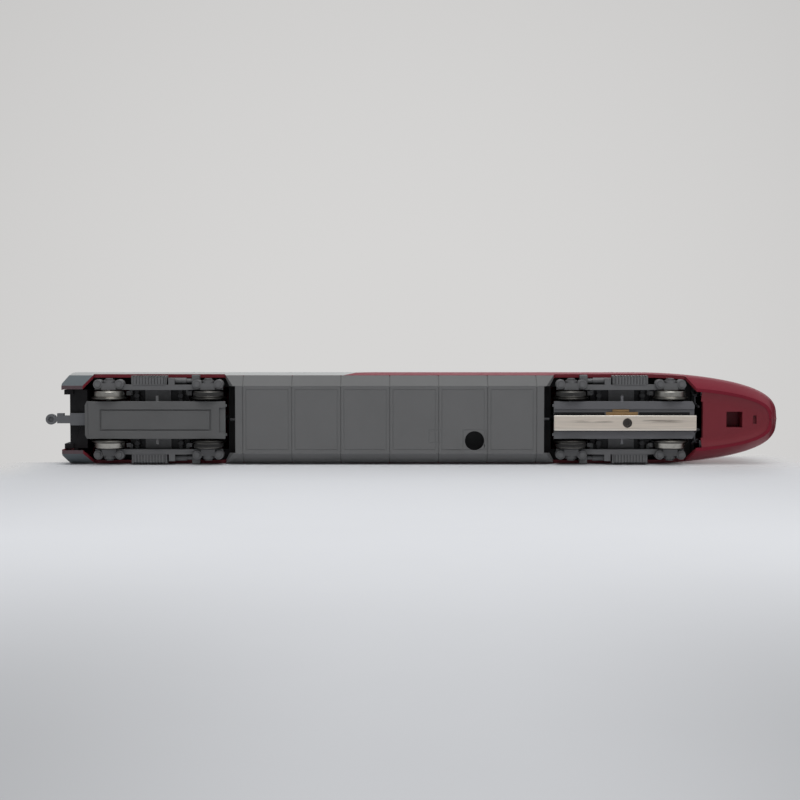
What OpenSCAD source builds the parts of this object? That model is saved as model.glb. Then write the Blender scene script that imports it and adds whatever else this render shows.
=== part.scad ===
// Model high-speed electric locomotive: a power car with one cab, at 1:87.
// Millimetres. +X is forward (the nose), +Y is left and +Z is up.
// The whole part is centred on X and Y, and its wheel flanges stand on Z = 0.
// Stations along the nose are measured back from its tip and are called s.

/* [Body] */
// Length from the rear corners to the nose tip
body_length = 250; // [246:1:256]
// Width over the body sides
body_width = 32.3; // [31.6:0.1:33]
// Roof line above the standing plane
roof_height = 48; // [47:0.5:50]
// Height of the widest line of the body
waist_height = 12; // [11.5:0.1:12.5]
// Thickness of the shell
shell_wall = 1.2; // [1:0.1:1.4]
// Length over which the nose narrows
nose_length = 48; // [45:1:51]
// Length over which the nose rises to the roof
hood_length = 62; // [58:1:66]
// How far the lower body tucks in under each side
turn_under = 4.35; // [4.1:0.05:4.6]
// Height of the fold along the lower body
chine_height = 7.9; // [7.6:0.1:8.1]
// Lower edge of the skirts and of the underfloor
floor_height = 3.5; // [3.2:0.1:3.8]
// Lower edge of the shell above the bogies
sill_height = 9.7; // [9.5:0.1:10.2]
// Distance from a pivot to the flat underfloor
underfloor_gap = 26.85; // [26:0.05:28]
// Length over which the rear corners are drawn in
rear_taper = 2.4; // [2:0.1:2.8]
// How far the rear corners are drawn in on each side
rear_inset = 3.6; // [3:0.1:3.8]
// Panels along the underfloor
panel_count = 6; // [4:1:8]
// Width of the grooves between panels
groove_width = 0.3; // [0.2:0.05:0.45]
// Diameter of the round hole in the underfloor
floor_hole_diameter = 6.7; // [5.5:0.1:7.5]
// Round hole forward of the middle between the pivots
floor_hole_forward = 29.5; // [20:0.5:36]
// Round hole to the left of the centre line
floor_hole_left = 7.3; // [4.5:0.1:7.6]
// Hatch outline forward of the middle between the pivots
hatch_forward = 15.9; // [12:0.1:17]
// Hatch outline to the left of the centre line
hatch_left = 5.7; // [3:0.1:6]
// Side of the hatch outline
hatch_size = 4.6; // [4:0.1:5]

/* [Nose] */
// Length of the floor panel under the nose
nose_floor_length = 22.4; // [21:0.2:23.4]
// Side of the square coupler socket under the nose
socket_size = 5.5; // [4.6:0.1:6]
// Depth of that socket
socket_depth = 7; // [5:0.5:8]
// Distance from the nose tip to the middle of the socket
socket_setback = 16.2; // [15:0.1:17]
// Lower edge of the windscreen
windscreen_low = 27.5; // [26.5:0.5:28.5]
// Upper edge of the windscreen
windscreen_high = 38; // [37:0.5:39]
// Width of the windscreen at its lower edge
windscreen_width = 17; // [15:0.5:18]

/* [Bogies] */
// Distance from the nose tip to the front pivot
nose_overhang = 55.6; // [54:0.1:57]
// Distance from the rear corners to the rear pivot
rear_overhang = 33.4; // [32.4:0.1:36]
// Distance between the axles of a bogie
wheelbase = 34.5; // [34:0.1:35]
// Length of a side frame
sideframe_length = 44.6; // [43.6:0.1:45]
// Reach of each bogie opening from the pivot, at the fold of the skirts
well_reach = 23.2; // [23:0.1:23.8]
// Length of a gear cover
cover_length = 48.7; // [47:0.1:49]
// Width of a gear cover
cover_width = 13; // [12.6:0.1:13.4]
// Diameter of the pivot boss
boss_diameter = 7; // [6:0.1:8]
// Width of the gear housing
gearbox_width = 12.4; // [11.8:0.1:12.8]

/* [Wheels] */
// Tread diameter
tread_diameter = 10.6; // [10.2:0.1:11]
// Height of the flange
flange_height = 1; // [0.9:0.05:1.1]
// Width of a wheel
wheel_width = 2.8; // [2.6:0.05:2.9]
// Distance between the backs of the wheels
back_to_back = 14.2; // [14:0.05:14.4]
// Axle diameter
axle_diameter = 2; // [1.8:0.1:2.2]
// Width of a traction tyre
tyre_width = 1.2; // [1:0.05:1.3]
// Thickness of a traction tyre
tyre_thickness = 0.35; // [0.25:0.05:0.4]

/* [Drive] */
// Gear module
gear_module = 0.4; // [0.39:0.005:0.405]
// Teeth of the axle gears
axle_teeth = 14; // [14:1:14]
// Teeth of the idler gears
idler_teeth = 26; // [26:1:26]
// Teeth of the centre gears under the worms
centre_teeth = 24; // [24:1:24]
// Height of the centre gear above the axles
centre_rise = 4.2; // [4:0.1:4.4]
// Face width of the gears
gear_width = 1.8; // [1.5:0.1:2]
// Pitch radius of the worms
worm_radius = 2.5; // [2.4:0.05:2.6]
// Motor diameter
motor_diameter = 17; // [16:0.5:17.5]
// Motor length
motor_length = 26; // [24:1:28]
// Flywheel diameter
flywheel_diameter = 16; // [14:0.5:16.5]
// Flywheel length
flywheel_length = 9; // [8:0.5:10]
// Diameter of the motor and worm shafts
shaft_diameter = 2; // [1.8:0.1:2.2]

/* [Pickup] */
// Length of the pickup shoe
shoe_length = 49.2; // [46:0.2:50]
// Width of the pickup shoe
shoe_width = 5.3; // [4.9:0.1:5.6]
// Underside of the shoe above the standing plane, hanging free
shoe_height = 0.5; // [0.4:0.05:0.6]
// Upward travel of the shoe
shoe_travel = 0.8; // [0.6:0.05:0.85]
// How far the loose shoe lies to the left in its slot
shoe_float = 0.95; // [0.5:0.05:1]
// How far the shoe stands forward of the pivot
shoe_lead = 1; // [0:0.1:1.2]
// Rivet hole forward of the middle of the shoe
shoe_hole_lead = 0.7; // [0:0.1:1]
// Diameter of the rivet hole in the shoe
shoe_hole = 3.2; // [2.6:0.1:3.6]

/* [Coupler] */
// Reach of the coupler behind the rear corners
coupler_reach = 6.2; // [5:0.1:8]
// Width of the coupler bar
coupler_width = 4.2; // [3.6:0.1:4.6]
// Diameter of the coupler head
coupler_head = 3.7; // [3.2:0.1:4.2]

/* [Pantograph] */
// Length of each pantograph arm
arm_length = 18; // [16:0.5:19]
// Length of the contact strips
strip_length = 15.6; // [14:0.2:16]
// Depth of the roof well that holds the pantograph
well_depth = 5; // [4.6:0.1:5.4]

/* [Fits] */
// Radial clearance of a running fit
run_fit = 0.04; // [0.03:0.005:0.06]
// Clearance between seated pieces
seat_gap = 0.1; // [0.05:0.01:0.15]

/* [Hidden] */
$fn = 48;
tip_flat = 0.15;
chine_inset = 0.85;
chine_setback = 1.2;
floor_setback = 3.3;
roundness = 2.6;
groove_depth = 0.22;
// The frame lines are this share of the panel joints in depth.
frame_share = 0.4;
body_half = body_width / 2;
nose_x = (body_length + coupler_reach) / 2;
rear_x = nose_x - body_length;
front_pivot_x = nose_x - nose_overhang;
rear_pivot_x = rear_x + rear_overhang;
pivot_span = front_pivot_x - rear_pivot_x;
mid_x = (front_pivot_x + rear_pivot_x) / 2;
floor_half = body_half - turn_under;
chine_half = body_half - chine_inset;
seam_height = chine_height + seat_gap;
tub_wall = 1.2;
tub_half_length = pivot_span / 2 - underfloor_gap;
wing_reach = pivot_span / 2 - well_reach;
// The ends of the tub and the edges of the openings rake back this far from the fold to the floor.
end_rake = (chine_height - floor_height) * 0.65;
// The outermost panel joints stand in from the ends of the floor.
panel_margin = 2.6;
panel_pitch = 2 * (tub_half_length - panel_margin) / panel_count;

axle_z = tread_diameter / 2 + flange_height;
axle_x = wheelbase / 2;
wheel_in = back_to_back / 2;
wheel_out = wheel_in + wheel_width;
flange_width = 0.9;
tread_mid = (wheel_in + flange_width + wheel_out) / 2;
axle_r = axle_diameter / 2;
axle_pitch = gear_module * axle_teeth / 2;
idler_pitch = gear_module * idler_teeth / 2;
centre_pitch = gear_module * centre_teeth / 2;
centre_z = axle_z + centre_rise;
shaft_z = centre_z + centre_pitch + worm_radius + 0.05;
worm_pitch = PI * gear_module;
worm_length = 4 * worm_pitch;
shaft_r = shaft_diameter / 2;

// The idler sits where circles about the axle and about the centre gear cross.
near_reach = axle_pitch + idler_pitch + 0.03;
far_reach = centre_pitch + idler_pitch + 0.03;
train_span = sqrt(axle_x * axle_x + centre_rise * centre_rise);
along = (train_span * train_span + near_reach * near_reach - far_reach * far_reach) / (2 * train_span);
aside = sqrt(near_reach * near_reach - along * along);
idler_x = axle_x - along * axle_x / train_span + aside * centre_rise / train_span;
idler_z = axle_z + along * centre_rise / train_span + aside * axle_x / train_span;
idler_pin_r = 0.8;

box_half = gearbox_width / 2;
cavity_half = worm_radius + 0.75;
box_low = axle_z - axle_pitch - gear_module - 0.25;
box_end = axle_x + 4.75;
tower_half = 12.5;
tower_top = shaft_z + worm_radius + 1.6;
box_wall = 1.2;
cover_low = box_low - 1.05;
shoe_top = shoe_height + 0.9;
slot_roof = shoe_top + shoe_travel + 0.15;
slot_half = shoe_width / 2 + 1.15;
shoe_pin_x = 12.4;
guide_pin_r = 0.7;

frame_in = wheel_out + 0.45;
frame_out = frame_in + 1.8;
frame_mid = (frame_in + frame_out) / 2 + 1;
lug_z = axle_z + 2.9;
peg_x = [-2.5, 3.5];
peg_r = 0.7;

deck_low = axle_z + axle_z + 0.8;
deck_high = deck_low + 2;
deck_half = body_half - shell_wall - 0.2;
opening_x = box_end + 1.6;
deck_front = front_pivot_x + opening_x + 2.4;
opening_y = box_half + 4.8;
bridge_low = tower_top + 0.4;
bridge_high = bridge_low + 2.4;
boss_r = boss_diameter / 2;
trough_low = floor_height + tub_wall;
trough_half = floor_half - tub_wall - seat_gap;
trough_end = tub_half_length - 2;

motor_r = motor_diameter / 2;
motor_half = motor_length / 2;
clamp_wall = 0.8;
clamp_head_r = 1.3;
clamp_r = motor_r + seat_gap / 2 + clamp_wall;
clamp_y = clamp_r + clamp_head_r + 0.45;
wheel_gap = 2;
fly_in = motor_half + wheel_gap;
fly_out = fly_in + flywheel_length;
cup_length = 4;
cup_r = 2.6;
socket_r = 1.75;
ball_r = 1.55;
fly_ball = fly_out + 2.2;
worm_ball = tower_half + 6.9;
cardan_reach = pivot_span / 2 - worm_ball - fly_ball;

beam_end = rear_pivot_x - box_end - 2;
coupler_pivot_x = beam_end - 2.9;
coupler_low = floor_height + 2.8;
coupler_high = coupler_low + 2;
stud_r = 1;
beam_low = coupler_high + 0.2;
// The beam ends inside the drawn-in corners.
beam_half = floor_half - 1.5;
// The beam's ends stand back from the wheels of a turned bogie.
beam_relief = 1.4;
beam_nose_half = wheel_in - 4.4;
// The leaf stays this far above the shoe's rim.
leaf_gap = 0.05;

well_floor = roof_height - well_depth;
well_half = strip_length / 2 + 0.9;
panto_x = rear_pivot_x + 2;
arm_z = well_floor + 3.2;
arm_front = panto_x + arm_length / 2;
arm_rear = arm_front - arm_length;
panto_pin_r = 0.4;
base_low = well_floor + 1.4;
base_high = base_low + 0.8;
// Each contact strip stands this far from the pin of the head.
strip_offset = 2.2;

board_half_length = 30;
board_half_width = body_half - shell_wall - 2.25;
board_low = shaft_z + flywheel_diameter / 2 + 1.7;
board_high = board_low + 1.2;
carrier_half = shoe_length / 2 - 3.6;
grille_half = 5.8;
grille_length = 58;
// The glazing lies this far inside the outer skin, and is this far clear of its openings.
glass_outer = 0.12;
glass_inner = 1.05;
glass_gap = 0.06;
window_s = [33, 43];
window_z = [28.5, 35.5];
lamp_y = [7.6, 11];
lamp_z = [14.6, 17.4];

// Shared shapes

module span(x, y, z) {
    translate([x[0], y[0], z[0]])
        cube([x[1] - x[0], y[1] - y[0], z[1] - z[0]]);
}

module both_sides() {
    children();
    mirror([0, 1, 0]) children();
}

// A flat outline in X and Z, given thickness from y[0] to y[1].
module side_plate(points, y) {
    translate([0, y[1], 0])
        rotate([90, 0, 0])
            linear_extrude(y[1] - y[0]) polygon(points);
}

// A flat outline in Y and Z, given thickness from x[0] to x[1].
module cross_plate(points, x) {
    translate([x[0], 0, 0])
        rotate([90, 0, 90])
            linear_extrude(x[1] - x[0]) polygon(points);
}

module rod_x(r, x, y, z) {
    translate([x[0], y, z])
        rotate([0, 90, 0]) cylinder(r = r, h = x[1] - x[0]);
}

module rod_y(r, x, y, z) {
    translate([x, y[1], z])
        rotate([90, 0, 0]) cylinder(r = r, h = y[1] - y[0]);
}

module rod_z(r, x, y, z) {
    translate([x, y, z[0]]) cylinder(r = r, h = z[1] - z[0]);
}

// Both bogies are drawn once, with their outer end towards +X.
module at_front() {
    translate([front_pivot_x, 0, 0]) children();
}

module at_rear() {
    translate([rear_pivot_x, 0, 0]) rotate([0, 0, 180]) children();
}

// Body surface

function unit(v) = max(0, min(1, v));
function plan(s, half, len) = half * pow(1 - pow(1 - unit(s / len), 1.8), 1 / 3);
function waist_y(s, t) = plan(s + tip_flat - t, body_half - t, nose_length - t);
function fold_y(s, t) =
    max(0.2, plan(s + tip_flat - t - chine_setback, chine_half - t, nose_length - t - chine_setback));
function floor_y(s, t) =
    max(0.1, plan(s + tip_flat - t - floor_setback, floor_half - t, nose_length - t - floor_setback));
function floor_z(s, t) =
    floor_height + 0.85 * (waist_height - floor_height) * unit(1 - (s - t) / floor_setback);
function fold_z(s, t) = max(chine_height, floor_z(s, t) + 0.3);
function rise(s, t) = pow(1 - pow(1 - unit((s + tip_flat - t) / (hood_length - t)), 1.7), 1 / 1.3);
function roof_z(s, t) = waist_height + (roof_height - waist_height - t) * rise(s, t);
function arc_point(s, t, a) = [
    waist_y(s, t) * pow(cos(a), 2 / roundness),
    waist_height + (roof_z(s, t) - waist_height) * pow(sin(a), 2 / roundness)
];
// Half width of the body at station s and height z.
function skin_y(s, z, t) = waist_y(s, t)
    * pow(1 - pow(unit((z - waist_height) / (roof_z(s, t) - waist_height)), roundness), 1 / roundness);
function half_section(s, t) = concat(
    [[floor_y(s, t), floor_z(s, t)], [fold_y(s, t), fold_z(s, t)]],
    [for (a = [0:7.5:82.5]) arc_point(s, t, a)]
);
function whole_section(s, t) = let (half = half_section(s, t), n = len(half)) concat(
    half,
    [[0, roof_z(s, t)]],
    [for (i = [n - 1:-1:0]) [-half[i][0], half[i][1]]]
);
nose_stations = [0, 0.3, 0.9, 1.8, 3.3, 5.2, 8, 12, 17, 23, 30, 38, 48, 62];
function stations(t, last) = concat([for (s = nose_stations) s + t], [last]);

module section_slice(s, t) {
    translate([nose_x - s, 0, 0])
        rotate([90, 0, 90])
            linear_extrude(0.02) polygon(whole_section(s, t));
}

// The body's solid form, drawn in by t all round and ending at station last.
module body_form(t, last) {
    at = stations(t, last);
    for (i = [0:len(at) - 2]) {
        hull() {
            section_slice(at[i], t);
            section_slice(at[i + 1], t);
        }
    }
}

module body_skin(outer, inner, last) {
    difference() {
        body_form(outer, last);
        body_form(inner, last + 1);
    }
}

// What is cut off the rear corners of a form that is drawn in by t.
module rear_corners(t) {
    slope = rear_inset / rear_taper;
    edge = body_half - t * sqrt(1 + slope * slope);
    front = rear_x + rear_taper;
    both_sides()
        translate([0, 0, -1])
            linear_extrude(roof_height + 2)
                polygon([
                    [front + 4, edge + 4 * slope], [rear_x - 2, edge - rear_inset - 2 * slope],
                    [rear_x - 2, body_half + 9], [front + 4, body_half + 9]
                ]);
}

// Openings over the bogies, with the lower edge along the underfloor between them.
module lower_cut() {
    front_low = front_pivot_x + well_reach + end_rake;
    rear_low = rear_pivot_x - well_reach - end_rake;
    side_plate([
        [rear_low - 1, -1],
        [rear_low, floor_height],
        [rear_pivot_x - well_reach, chine_height],
        [rear_pivot_x - well_reach, sill_height],
        [mid_x - wing_reach - 0.6, sill_height],
        [mid_x - wing_reach, seam_height],
        [mid_x + wing_reach, seam_height],
        [mid_x + wing_reach + 0.6, sill_height],
        [front_pivot_x + well_reach, sill_height],
        [front_pivot_x + well_reach, chine_height],
        [front_low, floor_height],
        [front_low + 1, -1]
    ], [-30, 30]);
}

function windscreen_outline(gap) = [
    [windscreen_width / 2 - gap, windscreen_low + gap],
    [windscreen_width / 2 - 1.6 - gap, windscreen_high - gap],
    [-windscreen_width / 2 + 1.6 + gap, windscreen_high - gap],
    [-windscreen_width / 2 + gap, windscreen_low + gap]
];
module windscreen_prism(gap) {
    cross_plate(windscreen_outline(gap), [nose_x - 44, nose_x + 1]);
}

module side_window_prisms(gap) {
    side_plate([
        [nose_x - window_s[1] + gap, window_z[0] + gap],
        [nose_x - window_s[0] - gap, window_z[0] + gap],
        [nose_x - window_s[0] - 4 - gap, window_z[1] - gap],
        [nose_x - window_s[1] + gap, window_z[1] - gap]
    ], [6, 20]);
}

module lamp_prism(gap) {
    span([nose_x - 16, nose_x + 1], [lamp_y[0] + gap, lamp_y[1] - gap], [lamp_z[0] + gap, lamp_z[1] - gap]);
}

module roof_well(grow) {
    span(
        [panto_x - arm_length / 2 - 6 - grow, panto_x + arm_length / 2 + 6 + grow],
        [-well_half - grow, well_half + grow],
        [well_floor - grow, roof_height + 1]
    );
}

// Body pieces

module body_shell() {
    color("FireBrick")
        difference() {
            union() {
                difference() {
                    body_form(0, body_length);
                    rear_corners(0);
                    difference() {
                        body_form(shell_wall, body_length + 1);
                        rear_corners(shell_wall);
                    }
                }
                intersection() {
                    body_form(0, body_length);
                    roof_well(1);
                }
            }
            roof_well(0);
            lower_cut();
            windscreen_prism(0);
            both_sides() side_window_prisms(0);
            both_sides() lamp_prism(0);
            span([mid_x - grille_length / 2, mid_x + grille_length / 2], [-grille_half, grille_half],
                [roof_height - 5, roof_height + 1]);
        }
}

module windscreen() {
    color("DarkSlateGray")
        intersection() {
            body_skin(glass_outer, glass_inner, hood_length - 2);
            windscreen_prism(glass_gap);
        }
}

module side_windows() {
    color("DarkSlateGray")
        intersection() {
            body_skin(glass_outer, glass_inner, hood_length - 2);
            both_sides() side_window_prisms(glass_gap);
        }
}

// Lamp lens with a light bar that runs back to the lamp board.
module headlight_guides() {
    color("Gainsboro")
        both_sides() {
            intersection() {
                body_form(glass_outer, hood_length - 2);
                union() {
                    span([nose_x - 15, nose_x], [lamp_y[0] + glass_gap, lamp_y[1] - glass_gap],
                        [lamp_z[0] + glass_gap, lamp_z[1] - glass_gap]);
                    span([deck_front + 3.3, nose_x - 14], [lamp_y[0] + 0.4, lamp_y[1] - 0.8],
                        [lamp_z[0] + 0.4, lamp_z[1] - 0.4]);
                }
            }
        }
}

// Shallow groove round a rectangle of the underfloor.
module groove_frame(x, y) {
    w = groove_width;
    difference() {
        span(x, y, [0, floor_height + groove_depth * frame_share]);
        span([x[0] + w, x[1] - w], [y[0] + w, y[1] - w], [-1, floor_height + 1]);
    }
}

module underframe_tub() {
    first_joint = mid_x - tub_half_length + panel_margin;
    hole_x = mid_x + floor_hole_forward;
    hole_frame = floor_hole_diameter / 2 + 0.75;
    hatch_x = mid_x + hatch_forward;
    color("DimGray")
        difference() {
            cross_plate([
                [-floor_half, floor_height], [floor_half, floor_height],
                [chine_half, chine_height], [chine_half - tub_wall, chine_height],
                [floor_half - tub_wall, floor_height + tub_wall],
                [-floor_half + tub_wall, floor_height + tub_wall],
                [-chine_half + tub_wall, chine_height], [-chine_half, chine_height]
            ], [mid_x - wing_reach, mid_x + wing_reach]);
            for (end = [0, 180]) {
                translate([mid_x, 0, 0]) rotate([0, 0, end]) {
                    span([tub_half_length, tub_half_length + 20], [-floor_half + 0.15, floor_half - 0.15],
                        [0, chine_height - 1.6]);
                    side_plate([
                        [wing_reach - end_rake, floor_height - 0.01], [wing_reach, chine_height],
                        [wing_reach + 0.01, chine_height + 1], [wing_reach + 9, chine_height + 1],
                        [wing_reach + 9, 0], [wing_reach - end_rake, 0]
                    ], [-20, 20]);
                }
            }
            rod_z(floor_hole_diameter / 2, hole_x, floor_hole_left, [0, 10]);
            // Panel joints across the floor and up both sides
            for (i = [0:panel_count]) {
                x = first_joint + i * panel_pitch;
                span([x - groove_width / 2, x + groove_width / 2], [-floor_half + 0.4, floor_half - 0.4],
                    [0, floor_height + groove_depth]);
                both_sides()
                    translate([x, floor_half, floor_height])
                        rotate([atan2(chine_height - floor_height, chine_half - floor_half), 0, 0])
                            span([-groove_width / 2, groove_width / 2], [-0.2, 12], [-1, groove_depth]);
            }
            // Frame lines inside each panel, round a hatch and beside the hole
            for (i = [0:panel_count - 1]) {
                x = first_joint + i * panel_pitch;
                groove_frame([x + 1, x + panel_pitch - 1], [-floor_half + 1.2, floor_half - 1.2]);
            }
            groove_frame([hatch_x - hatch_size / 2, hatch_x + hatch_size / 2],
                [hatch_left - hatch_size / 2, hatch_left + hatch_size / 2]);
            groove_frame([hole_x - hole_frame, hole_x + hole_frame],
                [floor_hole_left - hole_frame + 0.2, floor_half - 1.2]);
        }
}

module nose_floor() {
    tip = shell_wall + floor_setback + 0.35;
    run = tip + nose_floor_length;
    stop = nose_x - run;
    gap = shell_wall + seat_gap;
    rows = [for (i = [0:14]) tip + (run - tip) * pow(i / 14, 1.6)];
    outline = concat(
        [for (s = rows) [nose_x - s, floor_y(s, gap)]],
        [for (i = [14:-1:0]) [nose_x - rows[i], -floor_y(rows[i], gap)]]
    );
    low = floor_height + 0.7;
    high = low + 1;
    socket_x = nose_x - socket_setback;
    half = socket_size / 2;
    collar = half + 0.9;
    slot_x = nose_x - 9.1;
    slot = [0.6, 1.45];
    color("Brown")
        difference() {
            union() {
                translate([0, 0, low]) linear_extrude(high - low) polygon(outline);
                span([socket_x - collar, socket_x + collar], [-collar, collar],
                    [low, low + socket_depth + 1]);
                // Stiffening rib where the panel meets the bogie opening
                span([stop, stop + 1], [-8, 8], [low, low + 2.4]);
            }
            span([socket_x - half, socket_x + half], [-half, half], [low - 1, low + socket_depth]);
            span([slot_x - slot[0], slot_x + slot[0]], [-slot[1], slot[1]], [low - 1, high + 1]);
        }
}

module rear_bulkhead() {
    x = rear_x + rear_taper + 0.8;
    beam = rear_x + 1.9;
    wall = [for (p = whole_section(nose_x - x, shell_wall + seat_gap)) [p[0], max(p[1], beam_low)]];
    gangway_in = 5.6;
    gangway_out = 6.8;
    gangway_top = 37.2;
    door_half = 4.6;
    door_top = 35;
    color("DarkSlateGray")
        difference() {
            union() {
                cross_plate(wall, [x, x + 1.4]);
                span([beam, beam_end - beam_relief], [-beam_half, beam_half], [beam_low, deck_high]);
                span([beam, beam_end], [-beam_nose_half, beam_nose_half], [beam_low, deck_high]);
                both_sides()
                    span([rear_x + 0.1, x], [beam_half - 1.7, beam_half], [beam_low - 1, deck_high]);
                // Gangway frame
                both_sides() span([x - 1, x], [gangway_in, gangway_out], [deck_high, gangway_top - 0.2]);
                span([x - 1, x], [-gangway_out, gangway_out], [gangway_top - 1.2, gangway_top]);
            }
            rod_z(stud_r + run_fit, coupler_pivot_x, 0, [0, deck_high + 1]);
            span([x - 0.1, x + 0.5], [-door_half, door_half], [deck_high + 1, door_top]);
        }
}

module roof_grille() {
    top = waist_height + (roof_height - waist_height) * 0.968;
    half = grille_half - seat_gap;
    long = grille_length / 2 - seat_gap;
    first = mid_x - 26.8;
    pitch = 2.3;
    louvre_width = 1.2;
    louvre_half = 2;
    row_y = 2.75;
    color("SlateGray")
        difference() {
            span([mid_x - long, mid_x + long], [-half, half], [top - 1.4, top]);
            for (i = [0:23])
                for (side = [-1, 1])
                    translate([first + i * pitch, side * row_y, top - 0.7])
                        span([0, louvre_width], [-louvre_half, louvre_half], [0, 2]);
        }
}

module cab_insert() {
    floor_at = bridge_high + 2;
    floor_top = floor_at + 0.8;
    half = 11.4;
    rear = front_pivot_x - 10;
    front = front_pivot_x + 18;
    foot_half = 4.5;
    desk = front_pivot_x + 11;
    desk_half = 9.5;
    seat = front_pivot_x + 1;
    seat_half = 2;
    color("LightSlateGray")
        union() {
            span([rear, front], [-half, half], [floor_at, floor_top]);
            // Feet on the bridge
            both_sides()
                span([front_pivot_x - foot_half, front_pivot_x + foot_half], [half - 0.5, half + 1],
                    [bridge_high, floor_top]);
            // Desk, seat with its back, and rear wall
            side_plate([
                [desk, floor_at], [front, floor_at], [front, floor_at + 3.4],
                [desk + 1.2, floor_at + 4.4], [desk, floor_at + 4]
            ], [-desk_half, desk_half]);
            span([seat + 1, seat + 5], [-seat_half, seat_half], [floor_at, floor_at + 3]);
            span([seat, seat + 1.2], [-seat_half, seat_half], [floor_at, floor_at + 7.4]);
            span([rear, rear + 1], [-half, half], [floor_at, floor_at + 8.4]);
        }
}

// Chassis and electrics

module chassis_frame() {
    deck_tip_half = waist_y(nose_x - deck_front, shell_wall + 0.2);
    tip_from = deck_front - 23.4;
    bridge_half = 6;
    saddle_half = 6;
    post_x = 24;
    post_y = 11.6;
    color("Black")
        difference() {
            union() {
                // Deck, a little narrower where it reaches into the nose
                span([beam_end + seat_gap, tip_from + 1], [-deck_half, deck_half], [deck_low, deck_high]);
                span([tip_from, deck_front], [-deck_tip_half, deck_tip_half], [deck_low, deck_high]);
                span([deck_front - 1.2, deck_front], [-6, 6], [deck_low, deck_high + 3]);
                // Trough that carries the motor
                span([mid_x - trough_end, mid_x + trough_end], [-trough_half, trough_half],
                    [trough_low, trough_low + 2]);
                both_sides()
                    span([mid_x - trough_end, mid_x + trough_end], [trough_half - 0.6, trough_half + 1.4],
                        [trough_low + 1.6, deck_high]);
                for (end = [-1, 1])
                    translate([mid_x + end * (trough_end - 1), 0, 0])
                        span([-1, 1], [-trough_half, trough_half], [trough_low, deck_high]);
                span([mid_x - saddle_half, mid_x + saddle_half], [-trough_half, trough_half],
                    [trough_low, shaft_z - motor_r + 3]);
                // Bridges over the bogies
                for (p = [front_pivot_x, rear_pivot_x]) {
                    both_sides()
                        span([p - bridge_half, p + bridge_half], [opening_y + 0.2, deck_half - 1],
                            [deck_low, bridge_high]);
                    span([p - bridge_half, p + bridge_half], [-deck_half + 1, deck_half - 1],
                        [bridge_low, bridge_high]);
                }
                // Posts under the circuit board
                for (x = [mid_x - post_x, mid_x + post_x])
                    both_sides() rod_z(1.2, x, post_y, [deck_low, board_low]);
            }
            // Open middle, over the trough
            span([mid_x - trough_end + 2, mid_x + trough_end - 2], [-trough_half + 0.6, trough_half - 0.6],
                [deck_low - 0.4, deck_high + 1]);
            for (p = [front_pivot_x, rear_pivot_x]) {
                span([p - opening_x, p + opening_x], [-opening_y, opening_y], [deck_low - 1, deck_high + 1]);
                rod_z(boss_r + run_fit, p, 0, [bridge_low - 1, bridge_high + 1]);
            }
            rod_x(motor_r + seat_gap / 2, [mid_x - 20, mid_x + 20], 0, shaft_z);
            both_sides() rod_z(0.7, mid_x, clamp_y, [deck_low - 1, deck_high + 1]);
            rod_z(floor_hole_diameter / 2 + 0.6, mid_x + floor_hole_forward, floor_hole_left,
                [0, deck_low - 3]);
        }
}

module motor_can() {
    color("Silver")
        difference() {
            union() {
                rod_x(motor_r, [mid_x - motor_half, mid_x + motor_half - 4], 0, shaft_z);
                rod_x(motor_r - 0.5, [mid_x + motor_half - 4.1, mid_x + motor_half], 0, shaft_z);
                rod_x(3, [mid_x - motor_half - 1.2, mid_x + motor_half + 1.2], 0, shaft_z);
            }
            rod_x(shaft_r + run_fit, [mid_x - 30, mid_x + 30], 0, shaft_z);
        }
}

module motor_clamp() {
    r = clamp_r - clamp_wall;
    foot = clamp_y + clamp_head_r;
    color("DarkGray")
        difference() {
            union() {
                rod_x(clamp_r, [mid_x - 3, mid_x + 3], 0, shaft_z);
                both_sides() span([mid_x - 3, mid_x + 3], [r - 0.4, foot], [deck_high, deck_high + 0.9]);
            }
            rod_x(r, [mid_x - 4, mid_x + 4], 0, shaft_z);
            span([mid_x - 4, mid_x + 4], [-20, 20], [0, deck_high]);
            both_sides() rod_z(0.75, mid_x, clamp_y, [0, 40]);
        }
}

module clamp_screws() {
    color("Silver")
        both_sides()
            translate([mid_x, clamp_y, 0])
                difference() {
                    union() {
                        rod_z(0.65, 0, 0, [deck_low, deck_high + 1]);
                        rod_z(clamp_head_r, 0, 0, [deck_high + 0.9, deck_high + 1.9]);
                    }
                    span([-1.5, 1.5], [-0.2, 0.2], [deck_high + 1.5, deck_high + 3]);
                }
}

module main_board() {
    // Each part on the board: its rear and front end, its right and left side, and its height.
    decoder = [-18, -4, -6, 6, 1.8];
    bridge = [6, 16, -9, -2, 1.4];
    relay = [6, 12, 3, 8, 2.2];
    capacitor_r = 2.6;
    capacitor_at = [22, 4];
    capacitor_height = 4.8;
    color("SeaGreen")
        union() {
            span([mid_x - board_half_length, mid_x + board_half_length],
                [-board_half_width, board_half_width], [board_low, board_high]);
            for (block = [decoder, bridge, relay])
                span([mid_x + block[0], mid_x + block[1]], [block[2], block[3]],
                    [board_high, board_high + block[4]]);
            rod_z(capacitor_r, mid_x + capacitor_at[0], capacitor_at[1],
                [board_high, board_high + capacitor_height]);
        }
}

module light_board() {
    thick = 1;
    high = deck_high + 6;
    half = skin_y(nose_x - deck_front - thick, high, shell_wall) - 2;
    lamp_r = 1;
    lamp_length = 2;
    color("SeaGreen")
        union() {
            span([deck_front, deck_front + thick], [-half, half], [deck_low - 1, high]);
            both_sides()
                rod_x(lamp_r, [deck_front + thick - 0.1, deck_front + thick + lamp_length],
                    (lamp_y[0] + lamp_y[1]) / 2 - 0.2, (lamp_z[0] + lamp_z[1]) / 2);
        }
}

// Drive line

module motor_shaft() {
    color("LightGray")
        rod_x(shaft_r, [mid_x - fly_out, mid_x + fly_out], 0, shaft_z);
}

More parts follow.
